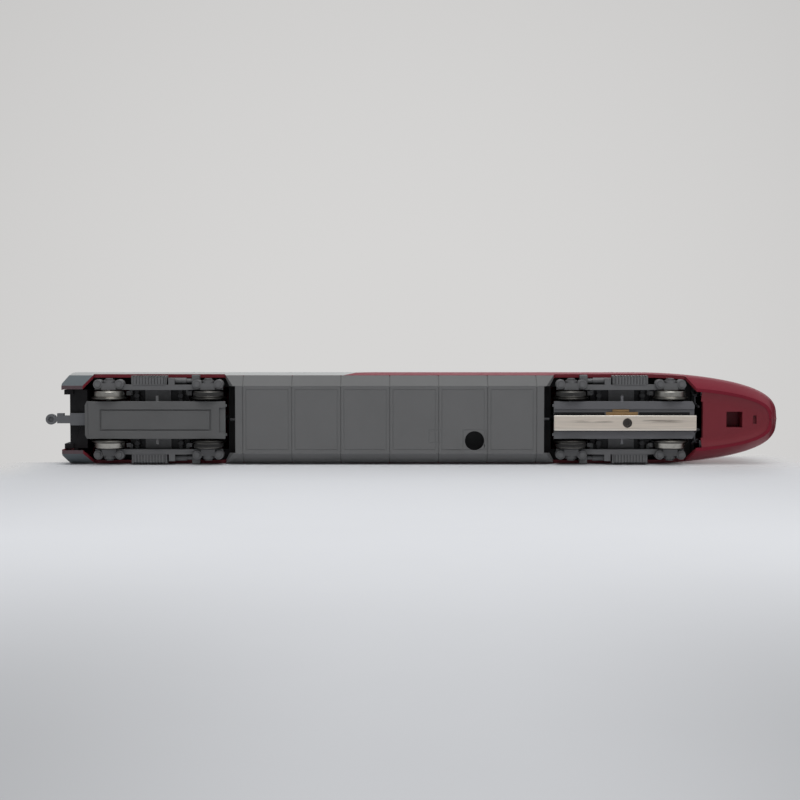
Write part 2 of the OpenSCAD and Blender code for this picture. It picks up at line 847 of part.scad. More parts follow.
module flywheels() {
    color("Goldenrod")
        for (end = [0, 180])
            translate([mid_x, 0, 0]) rotate([0, 0, end])
                difference() {
                    union() {
                        rod_x(flywheel_diameter / 2, [fly_in, fly_out], 0, shaft_z);
                        rod_x(cup_r, [fly_out - 0.1, fly_out + cup_length], 0, shaft_z);
                    }
                    rod_x(shaft_r, [fly_in - 1, fly_out], 0, shaft_z);
                    rod_x(socket_r, [fly_out, fly_out + cup_length + 1], 0, shaft_z);
                }
}

module cardan() {
    translate([0, 0, shaft_z])
        rotate([0, 90, 0])
            rotate_extrude() {
                difference() {
                    union() {
                        circle(r = ball_r);
                        translate([0, cardan_reach]) circle(r = ball_r);
                        square([0.9, cardan_reach]);
                    }
                    translate([-20, -20]) square([20, cardan_reach + 40]);
                }
            }
}

module front_cardan() {
    color("DarkGray") translate([mid_x + fly_ball, 0, 0]) cardan();
}

module rear_cardan() {
    color("DarkGray") translate([mid_x - fly_ball, 0, 0]) rotate([0, 0, 180]) cardan();
}

function worm_r(a) = let (b = abs(a > 180 ? a - 360 : a), top = worm_radius + 0.9 * gear_module,
    low = worm_radius - 1.2 * gear_module) b <= 40 ? top : b >= 92 ? low : top + (low - top) * (b - 40) / 52;
module worm() {
    translate([0, 0, shaft_z])
        rotate([0, 90, 0]) {
            linear_extrude(worm_length, center = true, twist = -1440, slices = 48, $fn = 3)
                polygon([for (a = [0:20:340]) worm_r(a) * [cos(a), sin(a)]]);
        }
    difference() {
        union() {
            rod_x(shaft_r, [-worm_ball + 1.9, tower_half - 0.4], 0, shaft_z);
            rod_x(cup_r, [-worm_ball - cup_length / 2, -worm_ball + 2.6], 0, shaft_z);
        }
        rod_x(socket_r, [-worm_ball - 5, -worm_ball + 1.8], 0, shaft_z);
    }
}

// Spur gear with involute flanks; the first tooth points along phase.
function involute(a) = tan(a) * 180 / PI - a;
function tooth_half(r, teeth) = let (pitch = gear_module * teeth / 2, base = pitch * cos(20))
    90 / teeth - 0.045 / pitch * 57.3 + involute(20) - involute(acos(min(1, base / max(r, base))));
// Each tooth has a point on each flank at four radii, from the root to the tip.
function tooth_rows(pitch) = [for (share = [-1.2, -0.3, 0.25, 0.85]) pitch + share * gear_module];
function gear_outline(teeth, phase) = let (rows = tooth_rows(gear_module * teeth / 2)) [
    for (i = [0:teeth - 1])
        for (j = [0:7])
            let (
                k = j < 4 ? j : 7 - j,
                side = j < 4 ? -1 : 1,
                a = phase + i * 360 / teeth + side * tooth_half(rows[k], teeth)
            )
                rows[k] * [cos(a), sin(a)]
];
// Phase of a driven gear that meshes with a gear set at phase, seen along bearing.
function mesh_phase(phase, teeth, next, bearing) =
    bearing + 180 - 180 / next + (bearing - phase) * teeth / next;

module gear(x, z, teeth, phase, bore) {
    translate([x, 0, z])
        rotate([90, 0, 0])
            difference() {
                union() {
                    linear_extrude(gear_width, center = true) polygon(gear_outline(teeth, phase));
                    cylinder(r = bore + 0.7, h = 2 * cavity_half - 0.5, center = true);
                }
                cylinder(r = bore, h = 20, center = true);
            }
}

centre_phase = 90 + 180 / centre_teeth;
function to_idler(side) = atan2(idler_z - centre_z, side * idler_x);
function to_axle(side) = atan2(axle_z - idler_z, side * (axle_x - idler_x));
function idler_phase(side) = mesh_phase(centre_phase, centre_teeth, idler_teeth, to_idler(side));
function axle_phase(side) = mesh_phase(idler_phase(side), idler_teeth, axle_teeth, to_axle(side));

module centre_gear() {
    color("Ivory") gear(0, centre_z, centre_teeth, centre_phase, idler_pin_r + run_fit);
}

module idler(side) {
    color("Ivory") gear(side * idler_x, idler_z, idler_teeth, idler_phase(side), idler_pin_r + run_fit);
}

module axle_gear(side) {
    color("Ivory") gear(side * axle_x, axle_z, axle_teeth, axle_phase(side), axle_r);
}

// Wheelsets

module axle(side) {
    color("Silver") rod_y(axle_r, side * axle_x, [-wheel_out, wheel_out], axle_z);
}

module wheel(tyred) {
    tread = tread_diameter / 2;
    flange = tread + flange_height;
    difference() {
        rotate([-90, 0, 0])
            rotate_extrude()
                polygon([
                    [axle_r, wheel_in], [flange - 0.35, wheel_in], [flange, wheel_in + 0.3],
                    [flange - 0.15, wheel_in + 0.65], [tread + 0.05, wheel_in + 0.95],
                    [tread, wheel_in + 1.1], [tread - 0.06, wheel_out - 0.2],
                    [tread - 0.25, wheel_out], [tread - 0.95, wheel_out],
                    [tread - 1.15, wheel_out - 0.7], [axle_r + 0.9, wheel_out - 0.7],
                    [axle_r + 0.7, wheel_out], [axle_r, wheel_out]
                ]);
        if (tyred)
            rotate([-90, 0, 0])
                rotate_extrude()
                    translate([tread - tyre_thickness - 0.06, tread_mid - tyre_width / 2])
                        square([2, tyre_width]);
    }
}

module wheels(side, tyred) {
    color("Silver") translate([side * axle_x, 0, axle_z]) both_sides() wheel(tyred);
}

module tyres(side) {
    tread = tread_diameter / 2;
    color("DimGray")
        translate([side * axle_x, 0, axle_z])
            both_sides()
                rotate([-90, 0, 0])
                    rotate_extrude()
                        translate([tread - tyre_thickness - 0.06, tread_mid - tyre_width / 2])
                            square([tyre_thickness, tyre_width]);
}

// Bogies

function tower(d) = let (x = box_end - d, side = axle_z + 4.3 - d * 0.45, neck = shaft_z - 1.4 - d * 0.5) [
    [x, box_low - (d > 0 ? 1 : 0)], [x, side], [tower_half - d, neck], [tower_half - d, tower_top - d],
    [-tower_half + d, tower_top - d], [-tower_half + d, neck], [-x, side], [-x, box_low - (d > 0 ? 1 : 0)]
];

module gearbox() {
    color("DimGray") {
        difference() {
            union() {
                side_plate(tower(0), [-box_half, box_half]);
                rod_z(boss_r, 0, 0, [tower_top - 0.5, bridge_high + 0.15]);
            }
            side_plate(tower(box_wall), [-cavity_half, cavity_half]);
            rod_x(shaft_r + run_fit, [-20, 20], 0, shaft_z);
            rod_z(0.8, 0, 0, [tower_top - 1, bridge_high + 1]);
            for (x = [-axle_x, axle_x]) {
                rod_y(axle_r + run_fit, x, [-10, 10], axle_z);
                span([x - axle_r - run_fit, x + axle_r + run_fit], [-10, 10], [box_low - 1, axle_z]);
            }
            both_sides()
                for (x = peg_x)
                    rod_y(peg_r + 0.05, x, [box_half - 1.4, box_half + 1], lug_z);
        }
        // Gear pins
        rod_y(idler_pin_r, 0, [-cavity_half - 0.5, cavity_half + 0.5], centre_z);
        for (x = [-idler_x, idler_x])
            rod_y(idler_pin_r, x, [-cavity_half - 0.5, cavity_half + 0.5], idler_z);
    }
}

// Cover under the gears. With a slot it carries the pickup shoe.
module gear_cover(slotted) {
    tongue = cover_length / 2 + 0.75;
    inner = cover_length - tongue;
    half = cover_width / 2;
    panel = [-inner + 5.2, tongue - 5.5];
    panel_in = 3.2;
    panel_out = 3.7;
    line_high = cover_low + 0.35;
    color("DimGray")
        difference() {
            union() {
                translate([0, 0, cover_low])
                    linear_extrude(box_low - cover_low)
                        polygon([
                            [tongue, half - 1.3], [tongue - 0.7, half], [-inner, half],
                            [-inner, -half], [tongue - 0.7, -half], [tongue, -half + 1.3]
                        ]);
                // Keepers that hold the axles up in their slots
                for (x = [-axle_x, axle_x])
                    both_sides()
                        span([x - axle_r + 0.05, x + axle_r - 0.05], [cavity_half + 0.3, box_half - 0.3],
                            [cover_low + 0.5, axle_z - axle_r - 0.08]);
                both_sides() {
                    span([-0.45, 0.45], [half - 0.5, half + 1.9], [cover_low + 0.3, box_low]);
                    span([-inner - 0.5, -inner + 2.4], [half - 1.9, half - 1],
                        [cover_low + 0.1, box_low - 0.1]);
                }
            }
            if (slotted) {
                span([-inner - 2, tongue + 2], [-slot_half, slot_half], [0, slot_roof]);
                for (x = [-shoe_pin_x, shoe_pin_x])
                    rod_z(guide_pin_r + 0.1, x, shoe_float, [0, box_low + 1]);
            } else {
                both_sides() span(panel, [panel_in, panel_out], [0, line_high]);
                for (x = panel) span([x - 0.25, x + 0.25], [-panel_out, panel_out], [0, line_high]);
                span([-inner - 1, -inner + 2.1], [-half + 2.2, half - 2.2], [0, cover_low + 0.45]);
                span([tongue - 1.2, tongue + 1], [-half - 1, half + 1], [0, cover_low + 0.3]);
            }
        }
}

// One side frame, for the left of a bogie.
module sideframe() {
    end = sideframe_length / 2;
    low = axle_z - 1.2;
    top = axle_z + 2;
    pot_offset = 3.7;
    pot_r = 1.5;
    box = [-3, 9.3];
    damper_y = frame_out + 1.3;
    damper_z = axle_z + 0.6;
    lug = [-4, 5];
    color("Gray")
        difference() {
            union() {
                side_plate([
                    [-end, low + 1.1], [-end + 2.2, low], [-11, low], [-9, low - 0.8], [9, low - 0.8],
                    [11, low], [end - 2.2, low], [end, low + 1.1], [end, top - 0.8], [end - 1.4, top],
                    [-end + 1.4, top], [-end, top - 0.8]
                ], [frame_in, frame_out]);
                for (a = [-axle_x, axle_x]) {
                    // Spring pots, axle box and its cap
                    for (dx = [-pot_offset, pot_offset]) {
                        rod_z(pot_r, a + dx, frame_mid, [axle_z - 2.3, axle_z + 2.2]);
                        rod_z(pot_r * 0.6, a + dx, frame_mid, [axle_z - 2.7, axle_z + 2.5]);
                    }
                    span([a - 2.5, a + 2.5], [frame_in, frame_out + 0.5], [axle_z - 2.1, axle_z + 2.2]);
                    rod_y(2.1, a, [frame_in, frame_out + 1.5], axle_z);
                    rod_y(1.3, a, [frame_in, frame_out + 2.2], axle_z);
                    // Brake shoe on its hanger
                    inward = a > 0 ? -1 : 1;
                    shoe = a + inward * (tread_diameter / 2 + 1.3);
                    hanger = shoe + inward * 0.8;
                    span([shoe - 0.8, shoe + 0.8], [wheel_in + 1.25, wheel_out - 0.1],
                        [axle_z + 0.5, axle_z + 2.9]);
                    span([hanger - 0.5, hanger + 0.5], [wheel_in + 1.5, frame_in + 0.2],
                        [axle_z + 0.8, axle_z + 2]);
                }
                // Secondary spring box
                span(box, [frame_out - 0.3, frame_out + 3.1], [axle_z - 1.8, axle_z + 2.5]);
                span([box[0] + 0.6, box[1] - 0.6], [frame_out, frame_out + 2.6],
                    [axle_z - 2.2, axle_z - 1.7]);
                // Anchor strut and yaw damper
                side_plate([
                    [-5.8, axle_z - 2], [-3.6, axle_z - 2], [-3, axle_z + 2.6], [-5.2, axle_z + 2.6]
                ], [frame_in, frame_out + 2.3]);
                rod_x(0.75, [-13, -4], damper_y, damper_z);
                rod_x(1.05, [-9.6, -5.4], damper_y, damper_z);
                span([-14.2, -11.6], [frame_in, frame_out + 3.3], [axle_z - 0.6, axle_z + 2.6]);
                // Lug and pegs on the gear housing
                span(lug, [box_half, frame_in + 0.2], [lug_z - 1.2, lug_z + 1.2]);
                span(lug, [frame_in, frame_out], [top - 0.5, lug_z + 1.2]);
                for (x = peg_x) rod_y(peg_r, x, [box_half - 1.2, box_half + 0.1], lug_z);
            }
            // Ribs round the spring box
            for (x = [-2.2:1.05:8.4]) {
                span([x, x + 0.4], [frame_out + 2.7, frame_out + 4], [0, 20]);
                span([x, x + 0.4], [frame_out + 0.2, frame_out + 4], [0, axle_z - 1.9]);
            }
        }
}

module pivot_screw() {
    color("Silver")
        difference() {
            union() {
                rod_z(0.75, 0, 0, [bridge_low - 0.2, bridge_high + 1]);
                rod_z(boss_r + 1.4, 0, 0, [bridge_high + 0.15, bridge_high + 0.65]);
                rod_z(2, 0, 0, [bridge_high + 0.6, bridge_high + 1.6]);
            }
            span([-3, 3], [-0.25, 0.25], [bridge_high + 1.1, bridge_high + 3]);
        }
}

module front_gearbox() {
    at_front() gearbox();
}

module front_gear_cover() {
    at_front() gear_cover(true);
}

module front_sideframe_left() {
    at_front() sideframe();
}

module front_sideframe_right() {
    at_front() mirror([0, 1, 0]) sideframe();
}

module front_pivot_screw() {
    at_front() pivot_screw();
}

module front_worm() {
    color("Goldenrod") at_front() worm();
}

module front_centre_gear() {
    at_front() centre_gear();
}

module front_outer_idler() {
    at_front() idler(1);
}

module front_inner_idler() {
    at_front() idler(-1);
}

module front_outer_axle() {
    at_front() axle(1);
}

module front_outer_wheels() {
    at_front() wheels(1, false);
}

module front_outer_gear() {
    at_front() axle_gear(1);
}

module front_inner_axle() {
    at_front() axle(-1);
}

module front_inner_wheels() {
    at_front() wheels(-1, true);
}

module front_inner_gear() {
    at_front() axle_gear(-1);
}

module front_inner_tyres() {
    at_front() tyres(-1);
}

module rear_gearbox() {
    at_rear() gearbox();
}

module rear_gear_cover() {
    at_rear() gear_cover(false);
}

module rear_sideframe_left() {
    at_rear() mirror([0, 1, 0]) sideframe();
}

module rear_sideframe_right() {
    at_rear() sideframe();
}

module rear_pivot_screw() {
    at_rear() pivot_screw();
}

module rear_worm() {
    color("Goldenrod") at_rear() worm();
}

module rear_centre_gear() {
    at_rear() centre_gear();
}

module rear_outer_idler() {
    at_rear() idler(1);
}

module rear_inner_idler() {
    at_rear() idler(-1);
}

module rear_outer_axle() {
    at_rear() axle(1);
}

module rear_outer_wheels() {
    at_rear() wheels(1, false);
}

module rear_outer_gear() {
    at_rear() axle_gear(1);
}

module rear_inner_axle() {
    at_rear() axle(-1);
}

module rear_inner_wheels() {
    at_rear() wheels(-1, true);
}

module rear_inner_gear() {
    at_rear() axle_gear(-1);
}

module rear_inner_tyres() {
    at_rear() tyres(-1);
}

// Pickup shoe under the front bogie

module slider_shoe() {
    end = shoe_length / 2;
    half = shoe_width / 2;
    color("LightSteelBlue")
        at_front() translate([shoe_lead, shoe_float, 0])
            difference() {
                side_plate([
                    [-end, shoe_height + 0.35], [-end + 2.2, shoe_height], [end - 2.2, shoe_height],
                    [end, shoe_height + 0.35], [end, shoe_top], [-end, shoe_top]
                ], [-half, half]);
                span([-end + 0.4, end - 0.4], [-half + 0.4, half - 0.4], [shoe_height + 0.4, 10]);
                rod_z(shoe_hole / 2, shoe_hole_lead, 0, [0, 10]);
            }
}

// Carrier inside the shoe, with two guide pins that hang it from the gear cover.
module slider_carrier() {
    half = shoe_width / 2 - 0.5;
    rivet_x = shoe_lead + shoe_hole_lead;
    color("DimGray")
        at_front() translate([0, shoe_float, 0])
            difference() {
                union() {
                    span([-carrier_half, carrier_half], [-half, half],
                        [shoe_height + 0.4, shoe_height + 0.8]);
                    rod_z(shoe_hole / 2 - 0.1, rivet_x, 0, [shoe_height + 0.25, shoe_height + 0.6]);
                    for (x = [-shoe_pin_x, shoe_pin_x]) {
                        rod_z(guide_pin_r, x, 0, [shoe_height + 0.6, box_low + 0.4]);
                        rod_z(1, x, 0, [box_low + 0.02, box_low + 0.5]);
                    }
                }
                rod_z(shoe_hole / 2 - 0.8, rivet_x, 0, [0, shoe_height + 0.65]);
            }
}

// Brass leaf between the cover's slot and the edge of the shoe.
module slider_spring() {
    half = shoe_width / 2;
    low = shoe_top + leaf_gap;
    color("Peru")
        at_front() translate([0, shoe_float, 0])
            side_plate([
                [-5.5, slot_roof], [-5.5, slot_roof - 0.2], [-2.6, low], [2.6, low],
                [5.5, slot_roof - 0.2], [5.5, slot_roof], [5.1, slot_roof],
                [2.4, low + 0.22], [-2.4, low + 0.22], [-5.1, slot_roof]
            ], [-half - 1.95, -half + 0.35]);
}

// Rear coupler

module coupler_bar() {
    tip = rear_x - coupler_reach;
    half = coupler_width / 2;
    head = coupler_head / 2;
    heel = coupler_pivot_x + 2;
    waist = coupler_pivot_x - 4.2;
    neck = rear_x - 2.2;
    lug = rear_x + 0.1;
    neck_half = 0.7;
    color("DimGray")
        difference() {
            union() {
                translate([0, 0, coupler_low])
                    linear_extrude(coupler_high - coupler_low)
                        polygon([
                            [heel, half], [waist, half], [waist, 1.4], [neck, 1.4],
                            [neck, neck_half], [tip + head, neck_half],
                            [tip + head, -neck_half], [neck, -neck_half], [neck, -half],
                            [lug, -half], [lug, -1.3], [waist, -1.3], [waist, -half], [heel, -half]
                        ]);
                rod_z(head, tip + head, 0, [coupler_low, coupler_high]);
                rod_z(stud_r, coupler_pivot_x, 0, [coupler_high - 0.1, deck_high + 0.6]);
            }
            rod_z(head - 0.9, tip + head, 0, [coupler_low - 1, coupler_low + 0.6]);
        }
}

// Pantograph, folded in its roof well

module pantograph_base() {
    x = [arm_rear - 1, arm_front + 2.4];
    color("DarkSlateGray")
        difference() {
            union() {
                both_sides() span(x, [5, 6.2], [base_low, base_high]);
                for (bar = [x[0], x[1] - 1.4])
                    span([bar, bar + 1.4], [-6.2, 6.2], [base_low, base_high]);
                // Insulators with sheds
                for (px = [x[0] + 0.9, x[1] - 0.9])
                    both_sides() {
                        rod_z(0.7, px, 5.6, [well_floor, well_floor + 1.5]);
                        rod_z(1.1, px, 5.6, [well_floor + 0.15, well_floor + 0.5]);
                        rod_z(1.1, px, 5.6, [well_floor + 0.8, well_floor + 1.15]);
                    }
                // Bearing brackets of the lower arm
                span([arm_front - 0.9, arm_front + 2.4], [-2.4, 2.4], [base_low, base_high]);
                both_sides()
                    span([arm_front - 0.9, arm_front + 0.9], [1.5, 2.3], [well_floor + 2, arm_z + 0.8]);
            }
            rod_y(panto_pin_r + run_fit, arm_front, [-5, 5], arm_z);
        }
}

module pantograph_lower_arm() {
    color("Gray")
        difference() {
            union() {
                rod_x(0.5, [arm_rear, arm_front], 0, arm_z);
                rod_y(0.8, arm_front, [-1.3, 1.3], arm_z);
                rod_y(panto_pin_r, arm_front, [-2.5, 2.5], arm_z);
                rod_y(0.75, arm_rear, [-1, 1], arm_z);
            }
            rod_y(panto_pin_r + run_fit, arm_rear, [-5, 5], arm_z);
        }
}

module pantograph_upper_arm() {
    color("Gray")
        difference() {
            union() {
                both_sides() {
                    span([arm_rear, arm_front], [2.8, 3.4], [arm_z - 0.3, arm_z + 0.3]);
                    rod_y(0.7, arm_rear, [1.2, 3.5], arm_z);
                    rod_y(0.65, arm_front, [2.7, 3.5], arm_z);
                }
                rod_y(panto_pin_r, arm_rear, [-2, 2], arm_z);
                // Brace that passes over the lower arm
                span([arm_rear + 5, arm_rear + 5.6], [-3.1, 3.1], [arm_z + 0.1, arm_z + 1.2]);
                span([arm_front - 5.6, arm_front - 5], [-3.1, 3.1], [arm_z + 0.1, arm_z + 1.2]);
            }
            rod_y(panto_pin_r + run_fit, arm_front, [-5, 5], arm_z);
            span([arm_rear + 3, arm_front - 3], [-1, 1], [arm_z - 2, arm_z + 0.7]);
        }
}

module pantograph_head() {
    half = strip_length / 2;
    horn = 2.2;
    color("DarkGray")
        union() {
            for (dx = [-strip_offset, strip_offset]) {
                span([arm_front + dx - 0.5, arm_front + dx + 0.5], [-half + horn, half - horn],
                    [arm_z + 0.9, arm_z + 1.6]);
                both_sides()
                    translate([arm_front + dx - 0.4, half - 2.4, arm_z + 0.9])
                        rotate([-24, 0, 0]) span([0, 0.8], [0, 2.5], [0, 0.55]);
            }
            both_sides() {
                rod_y(panto_pin_r, arm_front, [2.6, 4.6], arm_z);
                span([arm_front - 2.7, arm_front + 2.7], [3.8, 4.6], [arm_z - 0.45, arm_z + 0.45]);
                for (dx = [-strip_offset, strip_offset])
                    span([arm_front + dx - 0.5, arm_front + dx + 0.5], [3.8, 4.6], [arm_z - 0.4, arm_z + 1]);
            }
        }
}

body_shell();
underframe_tub();
chassis_frame();
nose_floor();
rear_bulkhead();
windscreen();
side_windows();
headlight_guides();
cab_insert();
light_board();
main_board();
motor_can();
motor_clamp();
clamp_screws();
roof_grille();
pantograph_base();
motor_shaft();
flywheels();
front_cardan();
rear_cardan();
front_gearbox();
front_gear_cover();
front_sideframe_left();
front_sideframe_right();
front_pivot_screw();
front_worm();
front_centre_gear();
front_outer_idler();
front_inner_idler();
front_outer_axle();
front_outer_wheels();
front_outer_gear();
front_inner_axle();
front_inner_wheels();
front_inner_gear();
front_inner_tyres();
rear_gearbox();
rear_gear_cover();
rear_sideframe_left();
rear_sideframe_right();
rear_pivot_screw();
rear_worm();
rear_centre_gear();
rear_outer_idler();
rear_inner_idler();
rear_outer_axle();
rear_outer_wheels();
rear_outer_gear();
rear_inner_axle();
rear_inner_wheels();
rear_inner_gear();
rear_inner_tyres();
slider_shoe();
slider_carrier();
slider_spring();
coupler_bar();
pantograph_lower_arm();
pantograph_upper_arm();
pantograph_head();
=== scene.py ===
"""Looks of a streamlined model power car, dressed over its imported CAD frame.

Sizes are in millimetres in the CAD frame (+X forward, +Y left, +Z up) and are turned into metres
where a mesh is made. The photo shows the underside, with the car lying on its left side.
"""
import math

import bmesh
import bpy
from mathutils import Matrix, Vector


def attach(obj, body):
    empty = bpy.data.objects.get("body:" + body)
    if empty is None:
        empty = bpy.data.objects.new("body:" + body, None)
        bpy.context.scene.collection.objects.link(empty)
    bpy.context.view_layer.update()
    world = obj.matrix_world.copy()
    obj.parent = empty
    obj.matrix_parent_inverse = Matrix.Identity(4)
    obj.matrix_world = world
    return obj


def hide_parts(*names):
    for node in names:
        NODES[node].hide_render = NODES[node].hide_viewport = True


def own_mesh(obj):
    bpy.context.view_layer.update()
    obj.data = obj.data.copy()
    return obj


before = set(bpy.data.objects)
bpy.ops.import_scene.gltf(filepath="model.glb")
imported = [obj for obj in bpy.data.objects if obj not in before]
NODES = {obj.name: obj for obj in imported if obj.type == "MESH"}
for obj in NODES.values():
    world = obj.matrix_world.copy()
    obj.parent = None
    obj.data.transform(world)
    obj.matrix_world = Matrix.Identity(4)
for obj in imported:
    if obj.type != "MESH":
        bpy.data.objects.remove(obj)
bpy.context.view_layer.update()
MM = 0.001
SIDES = (1, -1)

# Sizes shared with the CAD source
NOSE_X, REAR_X = 128.1, -121.9
BODY_LENGTH = NOSE_X - REAR_X
FRONT_PIVOT, REAR_PIVOT = 72.5, -88.5
BODY_HALF, CHINE_HALF, FLOOR_HALF = 16.15, 15.3, 11.8
FLOOR_Z, CHINE_Z, SEAM_Z, SILL_Z, WAIST_Z, ROOF_Z = 3.5, 7.9, 8.0, 9.7, 12.0, 48.0
NOSE_LENGTH, HOOD_LENGTH, TIP_FLAT = 48.0, 62.0, 0.15
CHINE_SETBACK, FLOOR_SETBACK, ROUNDNESS = 1.2, 3.3, 2.6
SHELL_WALL, WELL_REACH, WING_REACH = 1.2, 23.2, 57.3
REAR_TAPER, REAR_INSET = 2.4, 3.6
MID_X = (FRONT_PIVOT + REAR_PIVOT) / 2
HOLE_X, HOLE_Y = MID_X + 29.5, 7.3
WELL_X, WELL_HALF, WELL_FLOOR = (-101.5, -71.5), 8.7, 43.0
GRILLE_HALF_LENGTH, GRILLE_HALF = 29.0, 5.8
AXLE_X, AXLE_Z, FLANGE_EDGE = 17.25, 6.3, 8.15
SHOE_Y, SHOE_HALF, RIVET_LEAD = 0.95, 2.65, 1.7


# Node materials
def srgb(r, g, b):
    """Linear colour from 0-255 display values."""
    def lin(c):
        c /= 255.0
        return c / 12.92 if c <= 0.04045 else ((c + 0.055) / 1.055) ** 2.4
    return (lin(r), lin(g), lin(b), 1.0)


def scaled(colour, share):
    """A colour made darker or lighter, with each channel kept within 1."""
    return tuple(min(1.0, c * share) for c in colour[:3]) + (1.0,)


class Nodes:
    """Short calls for the nodes of one tree."""

    def __init__(self, tree):
        self.tree = tree

    def node(self, kind, inputs=None, **props):
        """New node; each of its inputs is a value or another node's output."""
        n = self.tree.nodes.new(kind)
        for key, value in props.items():
            setattr(n, key, value)
        for key, value in (inputs or {}).items():
            self.put(n.inputs[key], value)
        return n

    def put(self, socket, value):
        if isinstance(value, bpy.types.NodeSocket):
            self.tree.links.new(value, socket)
        else:
            socket.default_value = value

    def math(self, operation, a, b=0.0, c=0.0):
        n = self.node("ShaderNodeMath", operation=operation)
        for socket, value in zip(n.inputs, (a, b, c)):
            self.put(socket, value)
        return n.outputs[0]

    def times(self, first, *factors):
        product = first
        for factor in factors:
            product = self.math("MULTIPLY", product, factor)
        return product


PAINT_EDGE = 0.03


class Graph(Nodes):
    """Node tree of a new material, with its object coordinates x, y and z in millimetres."""

    def __init__(self, name):
        self.material = bpy.data.materials.new(name)
        self.material.use_nodes = True
        super().__init__(self.material.node_tree)
        self.shader = self.tree.nodes["Principled BSDF"]
        place = self.node("ShaderNodeTexCoord").outputs["Object"]
        grown = self.node("ShaderNodeVectorMath", {0: place, 1: (1 / MM,) * 3}, operation="MULTIPLY")
        self.mm = grown.outputs[0]
        self.x, self.y, self.z = self.node("ShaderNodeSeparateXYZ", {0: self.mm}).outputs

    def set(self, **values):
        """Sets shader inputs by name, with an underscore for each space."""
        for key, value in values.items():
            self.put(self.shader.inputs[key.replace("_", " ")], value)
        return self

    def noise(self, scale, detail=3.0, rough=0.55, stretch=(1, 1, 1)):
        """Noise over millimetres; scale is features per millimetre."""
        vector = self.node("ShaderNodeVectorMath", {0: self.mm, 1: stretch}, operation="MULTIPLY").outputs[0]
        inputs = {"Vector": vector, "Scale": scale, "Detail": detail, "Roughness": rough}
        return self.node("ShaderNodeTexNoise", inputs).outputs["Fac"]

    def level(self, value, low, high):
        """Maps 0..1 to low..high."""
        return self.node("ShaderNodeMapRange", {"Value": value, "To Min": low, "To Max": high}).outputs[0]

    def step(self, value, low, high):
        """Smooth step from 0 at low to 1 at high."""
        inputs = {"Value": value, "From Min": low, "From Max": high}
        return self.node("ShaderNodeMapRange", inputs, interpolation_type="SMOOTHSTEP").outputs[0]

    def over(self, value, at, soft=PAINT_EDGE):
        """1 where value is above at, with a soft edge."""
        return self.step(value, at - soft, at + soft)

    def under(self, value, at, soft=PAINT_EDGE):
        """1 where value is below at, with a soft edge."""
        return self.step(value, at + soft, at - soft)

    def distance(self, value, middle=0.0):
        return self.math("ABSOLUTE", self.math("SUBTRACT", value, middle))

    def mix(self, factor, a, b):
        n = self.node("ShaderNodeMix", data_type="RGBA")
        for key, value in (("Factor", factor), ("A", a), ("B", b)):
            self.put(n.inputs[key], value)
        return n.outputs["Result"]

    def tinted(self, colour, amount, factor):
        """A colour whose brightness moves by amount either way, driven by factor."""
        n = self.node("ShaderNodeValToRGB", {0: factor})
        stops = ((0.25, 1 - amount), (0.75, 1 + amount))
        for element, (at, share) in zip(n.color_ramp.elements, stops):
            element.position = at
            element.color = scaled(colour, share)
        return n.outputs["Color"]

    def corners(self, base, colour, amount, reach, low=0.3):
        """Lays a colour into the corners of base as painted shade, where ambient occlusion finds them, as far
        as reach from the faces beside them.
        """
        inputs = {"Distance": reach * MM}
        openness = self.node("ShaderNodeAmbientOcclusion", inputs, samples=6).outputs["AO"]
        corner = self.math("SUBTRACT", 1.0, self.step(openness, low, 0.95))
        return self.mix(self.times(corner, amount), base, colour)

    def bump(self, height, strength, depth):
        inputs = {"Height": height, "Strength": strength, "Distance": depth * MM}
        return self.set(Normal=self.node("ShaderNodeBump", inputs).outputs[0])


def plastic(name, colour, rough=0.55, vary=0.08, grain=6.0, corner_shade=0.35):
    """Moulded plastic: mottled colour, pale flecks, fine grain and painted shade in the corners."""
    g = Graph(name)
    fleck = g.step(g.noise(2.6, 2), 0.62, 0.72)
    base = g.tinted(colour, vary, g.noise(0.09, 4))
    base = g.mix(g.times(fleck, 0.16), base, scaled(colour, 1.5))
    # painted shade in the corners
    base = g.corners(base, scaled(colour, 0.35), corner_shade, 0.9, 0.35)
    rough_map = g.level(g.noise(0.5, 3), rough - 0.07, rough + 0.07)
    g.set(Base_Color=base, Roughness=rough_map, Specular_IOR_Level=0.4)
    return g.bump(g.noise(grain, 2), 0.12, 0.03).material


def metal(name, colour, rough=0.3, stretch=(1, 1, 1), scale=4.0, vary=0.12, tarnish_and_shade=0.3, metallic=1.0):
    """Bright metal with fine directional marks, random stains and painted shade in the corners."""
    g = Graph(name)
    marks = g.noise(scale, 3, 0.6, stretch)
    stain = g.step(g.noise(0.35, 4), 0.5, 0.75)
    base = g.mix(g.times(stain, tarnish_and_shade * 0.5), g.tinted(colour, vary, marks), scaled(colour, 0.55))
    # painted shade in the corners
    base = g.corners(base, scaled(colour, 0.25), tarnish_and_shade, 0.6)
    rough_map = g.level(marks, rough - 0.08, rough + 0.1)
    g.set(Base_Color=base, Roughness=rough_map, Metallic=metallic)
    return g.bump(marks, 0.15, 0.02).material


